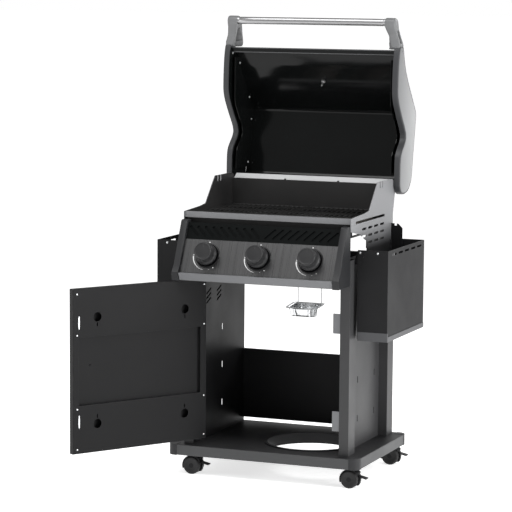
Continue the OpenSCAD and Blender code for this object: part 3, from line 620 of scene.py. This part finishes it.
def buildLidSkin():
    # One enamelled sheet, folded at the top, with a beaded hem, two side sheets and their liners
    line = cutCorners(lidSpec["skin"], 3, closed=False)
    ahead = unit(np.gradient(line, axis=0))
    loop = np.concatenate([line, (line - lidSpec["sheet"] * leftOf(ahead))[::-1]])
    span = lidSpec["capInner"] - lidSpec["sheet"]
    parts = [across(loop, [-span, span]), across(np.array(lidSpec["hem"]), [-span, span])]
    marks = [0, 0]
    # The beads take the paler bead paint, a painted highlight along the hem
    for y, z, radius in lidSpec["beads"]:
        parts.append(tube([[-span, y, z], [0, y, z], [span, y, z]], radius, 12))
        marks.append(1)
    outline = cutCorners(lidSpec["outline"], 2)
    side = insetLoop(outline, 5.0)
    side[:, 1] = np.minimum(side[:, 1], lidSpec["sideTop"])
    rear, foot, top = lidSpec["linerEdge"]
    liner = insetLoop(outline, 6.5)
    liner = np.stack([np.maximum(liner[:, 0], rear), np.clip(liner[:, 1], foot, top)], axis=1)
    for sign in (-1, 1):
        for loop, wall in ((side, lidSpec["sideSheet"]), (liner, lidSpec["liner"])):
            parts.append(across(loop, [sign * x for x in wall]))
            marks.append(0)
    mesh = meshOf("lidSkin", parts, 40.0, marks)
    addPiece("lid_skin_folded", mesh, "lid", [enamel, beadHighlightPaint], ["lid_shell"])


def buildHandleBar():
    # Satin tube between the arms, with a shallow collar at each end
    y, z = lidSpec["bar"]
    half = lidSpec["barHalf"]
    profile = [(12.9, 0), (12.9, 5), (12.4, 6), (12.4, 7.5), (12.9, 8.5), (13.0, 60), (13.0, 2 * half - 60),
               (12.9, 2 * half - 8.5), (12.4, 2 * half - 7.5), (12.4, 2 * half - 6), (12.9, 2 * half - 5),
               (12.9, 2 * half)]
    mesh = meshOf("handleBar", [lathe(profile, (-half, y, z), (1, 0, 0), 64)])
    addPiece("lid_handle_tube", mesh, "lid", barSteel, ["lid_handle"])


def buildLidBolts():
    # Domed heads on a washer, on the inside of the side sheets and liners
    parts = []
    for sign in (-1, 1):
        for y, z, wall in lidSpec["bolts"]:
            parts.append(lathe(lidSpec["boltProfile"], (sign * wall, y, z), (-sign, 0, 0), 20))
    addPiece("lid_bolt_heads", meshOf("lidBolts", parts), "lid", zinc, ["lid_bolts"])


dialSpec = {
    "centre": (12.0, 284.0, 1341.0),
    "slope": 40.3,
    "bezel": [(30, 4.6), (34.6, 4.6), (35, 5.6), (35, 11), (34, 13.4), (32, 14.4), (30.5, 13.6), (30, 12)],
    "face": [(30.2, 11.8), (29.0, 12.0), (0.4, 12.0)],
    "hub": [(2.6, 12), (2.6, 13.4), (1.6, 14), (0.3, 14)],
    "nut": [(8, -8), (8, -2.2), (7.4, -1.8)],
    "probe": [(0.5, -30), (1.6, -29.8), (2.4, -28.6), (2.4, -12), (3.2, -11), (3.2, -7)],
    "strokes": 24,
    "scale": (-130, 260),  # first stroke and the whole sweep, in degrees
    "needle": -2.0,
}


def buildThermometer():
    # Dial on the lid's outer slope: rolled bezel, face, scale strokes and needle; nut inside
    tilt = math.radians(dialSpec["slope"])
    axis = np.array([0.0, math.cos(tilt), math.sin(tilt)])
    centre = np.array(dialSpec["centre"])
    lift = np.array([0.0, -math.sin(tilt), math.cos(tilt)])

    def pointing(angle):
        return np.array([1.0, 0, 0]) * math.sin(angle) + lift * math.cos(angle)

    bezel = lathe(dialSpec["bezel"], centre, axis, 72)
    parts = [(bezel[0], bezel[1][:1]), lathe(dialSpec["face"], centre, axis, 48)]
    marks = [0, 1]
    first, sweep = dialSpec["scale"]
    for step in range(dialSpec["strokes"] + 1):
        away = pointing(math.radians(first + step * sweep / dialSpec["strokes"]))
        inner, radius = (22.0, 0.45) if step % 4 == 0 else (24.5, 0.3)
        path = np.array([centre + axis * 12.1 + away * reach for reach in (inner, 25.5, 27.5)])
        parts.append(tube(path, radius, 6, upright=tuple(axis)))
        marks.append(2)
    away = pointing(dialSpec["needle"])
    needle = np.array([centre + axis * 12.6 - away * 5, centre + axis * 12.6 + away * 21])
    parts.append(tube(needle, 0.6, 6, upright=tuple(axis)))
    marks.append(3)
    for key, sides in (("hub", 20), ("nut", 6), ("probe", 20)):
        parts.append(lathe(dialSpec[key], centre, axis, sides))
        marks.append(0)
    mesh = meshOf("thermometer", parts, 35.0, marks)
    addPiece("thermometer_dial", mesh, "lid", [stainless, dialWhite, markAndPortShadeBlack, needleRed],
             ["thermometer"])


buildCaps()
buildLidSkin()
buildHandleBar()
buildLidBolts()
buildThermometer()
print("lid made")

# ---- cooking grids, sear plates and burners ------------------------------------------------

gridSpec = {"level": 897.0, "rods": 15, "rodPitch": 18.25, "apart": 147.0, "halfWidth": 146.0, "middle": -6.0,
            "reach": 188.0, "frameReach": 190, "swing": 5.0, "waves": 3.0}


def buildGrids():
    # Cast grids: rods front to back, each swinging sideways as a sine, inside a frame
    spec = gridSpec
    span = np.linspace(-1, 1, 61)
    taper = 1 - span ** 8
    parts = []
    for sign in (-1, 1):
        middle = sign * spec["apart"]
        for rod in range(spec["rods"]):
            x = middle + (rod - (spec["rods"] - 1) / 2) * spec["rodPitch"]
            path = np.column_stack([
                x + spec["swing"] * taper * np.sin(np.pi * spec["waves"] * span),
                spec["middle"] + spec["reach"] * span,
                np.full(61, spec["level"]) - 0.6 * (1 - taper)])
            parts.append(tube(path, 4.3, 10, flat=0.82))
        edge = spec["halfWidth"] - 6.5
        for side in (-1, 1):
            x = middle + side * edge
            ys = [spec["middle"] + end * spec["frameReach"] for end in (-1, 0, 1)]
            parts.append(tube(np.array([[x, y, spec["level"]] for y in ys]), 4.4, 12))
            y = spec["middle"] + side * (spec["frameReach"] + 2)
            xs = (middle - edge - 3, middle, middle + edge + 3)
            parts.append(tube(np.array([[x, y, spec["level"]] for x in xs]), 4.4, 12))
    mesh = meshOf("cookingGrids", parts, 50.0)
    addPiece("cooking_grids_cast", mesh, "cart", castIron, ["cooking_grids"])


burnerSpec = {
    "places": (-186.0, 0.0, 186.0),
    "front": -206,
    "rear": 184,
    "level": 856,
    "radius": 10.8,
    "bend": 16,
    "bendAngle": 58,
    "cup": [(9, -2), (12.8, 0), (13, 3), (13, 15), (12.4, 17.5), (11, 17.9)],
    "cupAt": (-227.2, 822.1),
    "cupAxis": (0, -0.342, -0.94),
    "ports": 28,
    "portFront": -180,
    "portPitch": 12.6,
    "portTilt": 38,
    "portOut": 10.2,
}


def buildBurners():
    # Tube burners with a row of ports on each side, a flat closed end and a bent inlet with its cup
    spec = burnerSpec
    front, level = spec["front"], spec["level"]
    parts, marks = [], []
    for x in spec["places"]:
        y = np.linspace(front, spec["rear"], 40)
        straight = np.column_stack([np.full(40, x), y, np.full(40, float(level))])
        drop = np.radians(np.linspace(0, spec["bendAngle"], 8))
        bend = np.column_stack([np.full(8, x), front - 2 - spec["bend"] * np.sin(drop),
                                level - spec["bend"] * (1 - np.cos(drop))])
        foot = bend[-1] + np.array([[0, -0.53 * t, -0.848 * t] for t in (6, 14, 22)])
        path = np.concatenate([straight[::-1], bend, foot])
        parts.append(tube(path, spec["radius"], 20, upright=(1.0, 0.0, 0.0)))
        marks.append(0)
        for side in (-1, 1):
            angle = math.radians(90 - side * spec["portTilt"])
            for along in range(spec["ports"]):
                spot = np.array([x + spec["portOut"] * math.cos(angle),
                                 spec["portFront"] + along * spec["portPitch"],
                                 level + spec["portOut"] * math.sin(angle)])
                # Each port is a shallow black disc: painted shade for its hole
                parts.append(lathe([(1.1, 0), (1.1, 0.75), (0.8, 0.78)], spot,
                                   (math.cos(angle), 0, math.sin(angle)), 8))
                marks.append(1)
        parts.append(lathe(spec["cup"], (x, *spec["cupAt"]), spec["cupAxis"], 28))
        marks.append(0)
    addPiece("burner_tubes", meshOf("burners", parts, 40.0, marks), "cart",
             [burnerSteel, markAndPortShadeBlack], ["burners"])


searSpec = {
    "outline": [[-58, 871.2], [-54, 871.2], [0, 891], [54, 871.2], [58, 871.2]],
    "sheet": 1.4,
    "ends": (-187.0, 181.0),
}


def buildSearPlates():
    # Folded heat shields over the burners: an inverted V with a rounded ridge and turned feet
    upper = cutCorners(searSpec["outline"], 2, closed=False)
    loop = np.concatenate([upper, upper[::-1] - [0, searSpec["sheet"]]])
    parts = []
    for x in burnerSpec["places"]:
        rows = [np.column_stack([loop[:, 0] + x, np.full(len(loop), y), loop[:, 1]])
                for y in searSpec["ends"]]
        parts.append(grid(np.array(rows), wrapCols=True, capStart=True, capEnd=True))
    mesh = meshOf("searPlates", parts)
    addPiece("sear_plate_folds", mesh, "cart", burnerSteel, ["sear_plates"])


buildGrids()
buildBurners()
buildSearPlates()
print("grill inside made")

# ---- knobs ---------------------------------------------------------------------------------

knobSpec = {
    "up": 62.0,
    "pitch": 186.0,
    "lift": 7.4,
    "profile": [(6, 0), (35.5, 0.1), (36.6, 0.8), (37, 2.2), (37, 7.2), (36.2, 9.0), (34.6, 11), (33.2, 13),
                (32.0, 15.5), (31.3, 19), (31.0, 26), (31.1, 33), (31.5, 37.5), (31.4, 39.6), (30.6, 41.2),
                (29.2, 42.2), (27.6, 42.4), (26.6, 41.9), (23.0, 41.8), (11.0, 42.3), (0.4, 42.5)],
    "flutes": (30, 0.35, 17.0, 38.5),
    "pointer": (16.0, 21.0, 26.0),
    "pointerLift": 42.2,
}


def buildKnobs():
    # Turned knob: flared skirt, waisted fluted grip, domed front with a short pointer
    for number in (1, 2, 3):
        x = (number - 2) * knobSpec["pitch"]
        base = onFace([x, knobSpec["up"], knobSpec["lift"]])
        body = lathe(knobSpec["profile"], base, faceOut, 120, knobSpec["flutes"])
        height = knobSpec["lift"] + knobSpec["pointerLift"]
        tip = np.array([[x, knobSpec["up"] + reach, height] for reach in knobSpec["pointer"]])
        pointer = tube(onFace(tip), 0.7, 8, flat=1.6, upright=tuple(faceOut))
        mesh = meshOf(f"knob{number}", [body, pointer], 30.0)
        addPiece(f"knob_{number}_grip", mesh, f"control_knob_{number}", knobPlastic,
                 [f"knob_{number}"])


bezelSpec = {
    "lift": 0.1,
    "profile": [(9.2, 0), (43.6, 0), (44, 0.6), (43.4, 1.9), (42.2, 2.7), (40.4, 3.0), (38.6, 2.4), (36, 1.8),
                (12, 1.8), (10, 2.4), (9.2, 2.4)],
}


def buildBezels():
    # Glossy dished rings under the knobs
    parts = []
    for number in (1, 2, 3):
        centre = onFace([(number - 2) * knobSpec["pitch"], knobSpec["up"], bezelSpec["lift"]])
        parts.append(lathe(bezelSpec["profile"], centre, faceOut, 96))
    mesh = meshOf("bezels", parts, 40.0)
    addPiece("knob_bezel_rings", mesh, "cart", glossPlastic, ["knob_bezels"])


printSpec = {
    "radius": 49.0,
    "shift": (-1.5, -2),
    "arc": (182, 262),
    "halfWidth": (2.0, 0.4),
    "steps": 33,
    "levels": (0.12, 0.35),
    "dots": [(88, 2.3), (177, 1.8), (-55, 1.9), (-74, 1.1)],  # angle and radius
}


def buildPrints():
    # White print round each knob: a tapering arc for the flame's size and small dots for its ends
    spec = printSpec
    turn = np.radians(np.linspace(*spec["arc"], spec["steps"]))
    width = np.linspace(*spec["halfWidth"], spec["steps"])
    up = knobSpec["up"] + spec["shift"][1]
    parts = []
    for number in (1, 2, 3):
        x = (number - 2) * knobSpec["pitch"] + spec["shift"][0]
        edges = []
        for side in (-1, 1):
            reach = spec["radius"] + side * width
            edges.append(np.column_stack([x + reach * np.cos(turn), up + reach * np.sin(turn)]))
        low, high = ([np.column_stack([edge, np.full(spec["steps"], level)]) for edge in edges]
                     for level in spec["levels"])
        loop = np.stack([low[0], low[1], high[1], high[0]], axis=1)
        parts.append(grid(onFace(loop), wrapCols=True, capStart=True, capEnd=True))
        for angle, size in spec["dots"]:
            angle = math.radians(angle)
            spot = onFace([x + spec["radius"] * math.cos(angle), up + spec["radius"] * math.sin(angle), 0.1])
            parts.append(lathe([(size, 0), (size, 0.2), (size * 0.9, 0.26)], spot, faceOut, 20))
    addPiece("knob_prints", meshOf("knobPrints", parts), "cart", printWhite)


buildKnobs()
buildBezels()
buildPrints()
print("knobs made")

# ---- foil cup and its hanger ---------------------------------------------------------------

cupSpec = {
    "centre": (22.0, 96.0, 562.0),
    "size": (116.0, 88.0),
    "tilt": 6.0,
    "squareness": 0.28,
    "pleats": 46,
    # How far out, how high and how deeply pleated each ring is
    "rings": [(3.4, -1.4, 0), (3.8, -0.8, 0), (3.2, -0.3, 0), (0.5, -0.4, 0.1), (-5.0, -0.7, 0.3),
              (-6.6, -2.0, 0.6), (-7.6, -8, 1), (-8.6, -14, 1), (-9.6, -20, 1), (-10.6, -26, 1),
              (-11.6, -31, 0.6), (-13.2, -33.2, 0.2), (-20, -33.4, 0), (-30, -33.0, 0)],
}


def cupFrame(points):
    # The cup hangs slightly nose down
    tilt = math.radians(cupSpec["tilt"])
    x, y, z = points[..., 0], points[..., 1], points[..., 2]
    turned = np.stack([x, y * math.cos(tilt) - z * math.sin(tilt),
                       y * math.sin(tilt) + z * math.cos(tilt)], axis=-1)
    return turned + np.array(cupSpec["centre"])


def buildFoil():
    # Pressed foil: a rolled rim and pleated walls, with shallow dents all over
    turn = np.linspace(0, 2 * np.pi, 240, endpoint=False)
    power = cupSpec["squareness"]

    def loop(halfX, halfY):
        c, s = np.cos(turn), np.sin(turn)
        return np.sign(c) * np.abs(c) ** power * halfX, np.sign(s) * np.abs(s) ** power * halfY

    halfX, halfY = cupSpec["size"][0] / 2, cupSpec["size"][1] / 2
    generator = np.random.default_rng(7)
    phases = generator.uniform(0, 2 * np.pi, 4)
    rows = []
    for grow, z, pleat in cupSpec["rings"]:
        ripple = (0.55 * pleat * np.sin(cupSpec["pleats"] * turn)
                  + 0.35 * pleat * np.sin(19 * turn + phases[0] + z * 0.2))
        dent = 0.5 * np.sin(5 * turn + phases[1] + z * 0.3) * np.cos(9 * turn + phases[2] - z * 0.15)
        x, y = loop(halfX + grow + ripple, halfY + grow * 0.9 + ripple)
        rows.append(np.column_stack([x, y, z + dent * (0.35 + 0.3 * pleat)]))
    points = cupFrame(np.array(rows))
    mesh = meshOf("foilCup", [grid(points, wrapCols=True, capEnd=True)], 25.0)
    piece = addPiece("foil_cup_pressed", mesh, "drip_tray", foilMetal, ["foil_cup"])
    thick = piece.modifiers.new("foilThickness", "SOLIDIFY")
    thick.thickness = 0.0004
    thick.offset = 0.0


hangerSpec = {
    "wire": 1.4,
    "below": 4.0,
    "inset": 2,
    "legs": 0.78,
    "panFloor": 674,
    "top": 677.6,
    "nut": [(1.6, 0), (4.6, 0.2), (4.8, 1.2), (3.0, 1.9)],
}


def buildHanger():
    # Bent wire: two hooks from the pan, and a loop under the cup's rim
    spec = hangerSpec
    x0, y0 = cupSpec["size"][0] / 2 - spec["inset"], cupSpec["size"][1] / 2 - spec["inset"]
    cx, cy, rim = cupSpec["centre"]
    corners = cutCorners([[-x0, -y0], [x0, -y0], [x0, y0], [-x0, y0]], 3)
    ring = cupFrame(np.column_stack([corners, np.full(len(corners), -spec["below"])]))
    turn = np.linspace(0, 2 * np.pi, 10, endpoint=False)[None, :, None]
    along = unit(np.roll(ring, -1, axis=0) - np.roll(ring, 1, axis=0))
    side = unit(np.cross(along, [0.0, 0.0, 1.0]))
    lift = np.cross(side, along)
    wire = ring[:, None] + spec["wire"] * (side[:, None] * np.cos(turn) + lift[:, None] * np.sin(turn))
    parts = [grid(wire, wrapRows=True, wrapCols=True)]
    for sign in (-1, 1):
        x = cx + sign * x0 * spec["legs"]
        path = [[x, cy + y0, z] for z in (rim - 3, rim + 30, spec["panFloor"], spec["top"])]
        parts.append(tube(path, spec["wire"], 12, upright=(0.0, 1.0, 0.0)))
        parts.append(lathe(spec["nut"], (x, cy + y0, spec["panFloor"] + 2), (0, 0, 1), 24))
    addPiece("cup_hanger_wire", meshOf("hanger", parts), "drip_tray", zinc, ["cup_hanger"])


buildFoil()
buildHanger()
print("drip cup made")

# ---- casters -------------------------------------------------------------------------------

wheelSpec = {
    "casters": [(-288.0, -213.0), (288.0, -213.0), (288.0, 213.0), (-288.0, 213.0)],
    "trail": 20,
    "axle": 30,
    "apart": 6.5,
    "tread": [(21.5, 0.2), (27.5, 0.2), (29.2, 1.4), (30, 3.4), (30, 8.2), (29.4, 8.8), (29.4, 9.4),
              (30, 10), (30, 14.8), (29.2, 16.8), (27.4, 17.9), (22.5, 17.9), (21.5, 17.2)],
    "hub": [(4.2, 0.4), (21.4, 0.4), (21.4, 16.4), (19.8, 15.4), (12.5, 14.4), (9.6, 14.6), (9.0, 16.6),
            (8.2, 17.4), (0.4, 17.6)],
}


def buildWheels():
    # Twin discs: rounded tread with a centre groove, dished hub with a raised boss
    spec = wheelSpec
    for number, (x, y) in enumerate(spec["casters"], 1):
        parts = [lathe([(3.9, -7.4), (3.9, 7.4)], (x + spec["trail"], y, spec["axle"]), (0, 1, 0), 24)]
        marks = [1]
        for sign in (-1, 1):
            centre = (x + spec["trail"], y + sign * spec["apart"], spec["axle"])
            parts += [lathe(spec["tread"], centre, (0, sign, 0), 56),
                      lathe(spec["hub"], centre, (0, sign, 0), 40)]
            marks += [0, 1]
        mesh = meshOf(f"wheels{number}", parts, 40.0, marks)
        addPiece(f"caster_wheels_{number}_twin", mesh, f"wheels_{number}",
                 [rubber, blackPlastic], [f"caster_wheels_{number}"])


buildWheels()
print("casters made")

# ---- screws and rivets ---------------------------------------------------------------------

doorSpec = {
    "pin": (-240.0, -232.0),
    "open": 123.0,
    "width": 507.0,
    "foot": 127.0,
    "face": 7.6,
    "rivets": (15, 150, 398, 535),
    "rivetProfile": [(2.9, 0), (2.9, 0.5), (2.3, 1.2), (1.2, 1.45), (0.3, 1.5)],
    "strikes": (108, 440),
    "strikeHalf": (3, 22),
    "strikeLevels": (7.6, 8.2, 8.7),
}


def doorFrame(points):
    # Points given for the closed door, from its hinge axis, turned to where the door stands
    angle = math.radians(-doorSpec["open"])
    points = np.asarray(points, float)
    x, y = points[..., 0], points[..., 1]
    px, py = doorSpec["pin"]
    return np.stack([px + x * math.cos(angle) - y * math.sin(angle),
                     py + x * math.sin(angle) + y * math.cos(angle), points[..., 2]], axis=-1)


def buildDoorFasteners():
    # Rivet heads down both edges, and the two strike plates of the magnets
    spec = doorSpec
    parts = []
    axis = doorFrame(np.array([0.0, 1.0, 0.0])) - doorFrame(np.array([0.0, 0.0, 0.0]))
    for x in (-13.0, spec["width"] - 16):
        for z in spec["rivets"]:
            centre = doorFrame(np.array([x, spec["face"], spec["foot"] + z]))
            parts.append(lathe(spec["rivetProfile"], centre, axis, 20))
    halfX, halfZ = spec["strikeHalf"]
    x = spec["width"] - 23
    for z in spec["strikes"]:
        low, high = spec["foot"] + z - halfZ, spec["foot"] + z + halfZ
        outline = cutCorners([[x - halfX, low], [x + halfX, low], [x + halfX, high], [x - halfX, high]], 2)
        rows = [np.column_stack([outline[:, 0], np.full(len(outline), y), outline[:, 1]])
                for y in spec["strikeLevels"]]
        rows[2][:, 0] = x + (rows[2][:, 0] - x) * 0.8
        parts.append(grid(doorFrame(np.array(rows)), wrapCols=True, capStart=True, capEnd=True))
    addPiece("door_rivets", meshOf("doorRivets", parts), "door", zinc, ["door_fasteners"])


screwSpec = {
    "places": ((321.0, 793.0), (383.0, 793.0)),
    "front": -186.0,
    "profile": [(3.8, 0), (3.8, 0.4), (3.2, 1.2), (1.8, 1.55), (1.6, 1.1), (0.3, 1.0)],
}


def buildShelfScrews():
    # Pan-head screws through each shelf's front apron
    for sign, body in ((-1, "shelf_left"), (1, "shelf_right")):
        parts = [lathe(screwSpec["profile"], (sign * x, screwSpec["front"], z), (0, -1, 0), 24)
                 for x, z in screwSpec["places"]]
        addPiece(body + "_screws", meshOf(body + "Screws", parts), body, zinc)


buildDoorFasteners()
buildShelfScrews()
print("fasteners made")

# ---- folded sheet and moulded parts --------------------------------------------------------

boxSpec = {"outerWall": 301.5, "wall": 300, "lipFront": -206, "lipFoot": 886}


def outerGrey(centres, normals):
    # The firebox is grey on its side walls' outer faces and edges, and on its front lip
    x, y, z = np.abs(centres[:, 0]), centres[:, 1], centres[:, 2]
    sideways = np.abs(normals[:, 0])
    side = (x > boxSpec["outerWall"]) & (sideways > 0.9)
    lip = (y < boxSpec["lipFront"]) & (z > boxSpec["lipFoot"]) & (sideways < 0.5)
    edge = (x > boxSpec["wall"]) & (sideways < 0.1)
    return side | lip | edge


def innerFaces(centres, normals):
    # The side panels take the black coat on the faces that look into the cabinet: painted shade for the
    # cabinet's inside
    return np.sign(centres[:, 0]) * normals[:, 0] < -0.5


sheets = {
    "bottom_shelf": (shelfTop, 0.8), "base_skirt": (baseCoat, 0.5),
    "rear_panel": (blackCoat, 0.5), "support_rails": (blackCoat, 0.5), "door_hinge_pins": (blackCoat, 0.5),
    "magnet_catches": (trimPlastic, 0.8), "control_panel": (panelCoat, 0.5), "panel_ends": (darkPlastic, 1.2),
    "trim_strip": (trimPlastic, 0.8), "vent_insert": (ventPlastic, 0.6), "corner_caps": (darkPlastic, 1.0),
    "drip_pan": (zinc, 0.5), "door_skin": (doorCoat, 0.7), "door_liner": (doorCoat, 0.7),
    "shelf_pan_left": (shelfCoat, 0.7), "shelf_pan_right": (shelfCoat, 0.7),
    "shelf_trim_left": (shelfTrim, 1.0), "shelf_trim_right": (shelfTrim, 1.0),
    "shelf_brackets_left": (blackCoat, 0.4),
    "shelf_brackets_right": (blackCoat, 0.4), "rear_flange": (flangeReflectionCoat, 0.4), "valve_bodies": (brass, 0.5),
    "gas_manifold": (zinc, 0.5), "caster_stems": (zinc, 0.4), "lid_hinge_pins": (zinc, 0.3),
}
for number in range(1, 4):
    sheets[f"valve_stem_{number}"] = (brass, 0.3)
for number in range(1, 5):
    sheets[f"caster_fork_{number}"] = (blackPlastic, 0.8)
    sheets[f"caster_brake_{number}"] = (blackPlastic, 0.8)
for node, (material, width) in sheets.items():
    sheetCopy(node, material, width)
sheetCopy("firebox", [boxInside, boxCoat], 0.5, outerGrey)
for side in ("left", "right"):
    sheetCopy("side_panel_" + side, [cartGrey, blackCoat], 0.7, innerFaces)
for node in frame["nodes"]:
    dress(node, blackCoat)
print("sheets rolled:", len(sheets) + 3)

# ---- stage, light and camera ---------------------------------------------------------------

studio = {
    "floorSize": 160.0,
    "worldCamera": 1.0,
    "worldLight": 0.42,
    "floorGlow": 0.68,
    "eye": (2943.0, -7654.0, 1728.0),
    "yaw": 21.86,
    "pitch": 6.84,
    "bank": 0.426,
    "sensor": 36.0,
    "focal": 167.836,
    # Each softbox's place in metres from the base's middle, its size and its power
    "lights": {
        "sideSoftbox": ((3.2, -0.6, 1.6), (1.6, 2.6), 95.0),
        "topSoftbox": ((-0.4, -1.6, 4.2), (3.0, 2.0), 85.0),
        "leftSoftbox": ((-3.4, -1.8, 1.4), (1.0, 2.4), 30.0),
        "rearSoftbox": ((0.6, 3.2, 2.6), (2.4, 1.4), 45.0),
    },
}


def buildStage():
    half = studio["floorSize"] / 2
    mesh = bpy.data.meshes.new("floor")
    corners = [(-half, -half, 0), (half, -half, 0), (half, half, 0), (-half, half, 0)]
    mesh.from_pydata(corners, [], [(0, 1, 2, 3)])
    floor = addObject("floor", mesh)
    material, tree, shader = startMaterial("paleFloor")
    shader.inputs["Base Color"].default_value = (0.90, 0.90, 0.90, 1.0)
    shader.inputs["Roughness"].default_value = 0.7
    shader.inputs["Emission Color"].default_value = (1.0, 1.0, 1.0, 1.0)
    shader.inputs["Emission Strength"].default_value = studio["floorGlow"]
    mesh.materials.append(material)
    world = bpy.data.worlds.new("studioWhite")
    bpy.context.scene.world = world
    world.use_nodes = True
    tree = world.node_tree
    back = tree.nodes["Background"]
    path = tree.nodes.new("ShaderNodeLightPath")
    extra = studio["worldCamera"] - studio["worldLight"]
    strength = mathNode(tree, "MULTIPLY", path.outputs["Is Camera Ray"], extra)
    strength = mathNode(tree, "ADD", strength, studio["worldLight"])
    back.inputs["Color"].default_value = (1.0, 1.0, 1.0, 1.0)
    tree.links.new(strength, back.inputs["Strength"])


def areaLight(name, at, size, power):
    light = bpy.data.lights.new(name, "AREA")
    light.shape = "RECTANGLE"
    light.size, light.size_y = size
    light.energy = power
    lamp = addObject(name, light)
    lamp.location = Vector((baseX + at[0], baseY + at[1], at[2]))
    lamp.rotation_euler = (middle - lamp.location).to_track_quat("-Z", "Y").to_euler()


def buildCamera():
    yaw, pitch, bank = (math.radians(studio[key]) for key in ("yaw", "pitch", "bank"))
    forward = Vector((-math.sin(yaw) * math.cos(pitch), math.cos(yaw) * math.cos(pitch), -math.sin(pitch)))
    level = Vector((math.cos(yaw), math.sin(yaw), 0.0))
    upright = level.cross(forward)
    right = level * math.cos(bank) + upright * math.sin(bank)
    up = upright * math.cos(bank) - level * math.sin(bank)
    camera = bpy.data.cameras.new("camera")
    camera.lens = studio["focal"]
    camera.sensor_width = studio["sensor"]
    camera.clip_end = 400.0
    holder = addObject("camera", camera)
    turn = Matrix((right, up, -forward)).transposed()
    holder.matrix_world = Matrix.Translation(Vector(place(studio["eye"]))) @ turn.to_4x4()
    bpy.context.scene.camera = holder


buildStage()
middle = Vector((baseX, baseY, 0.8))
for name, (at, size, power) in studio["lights"].items():
    areaLight(name, at, size, power)
buildCamera()
bpy.context.scene.view_settings.view_transform = "Standard"
print("stage, lights and camera made")
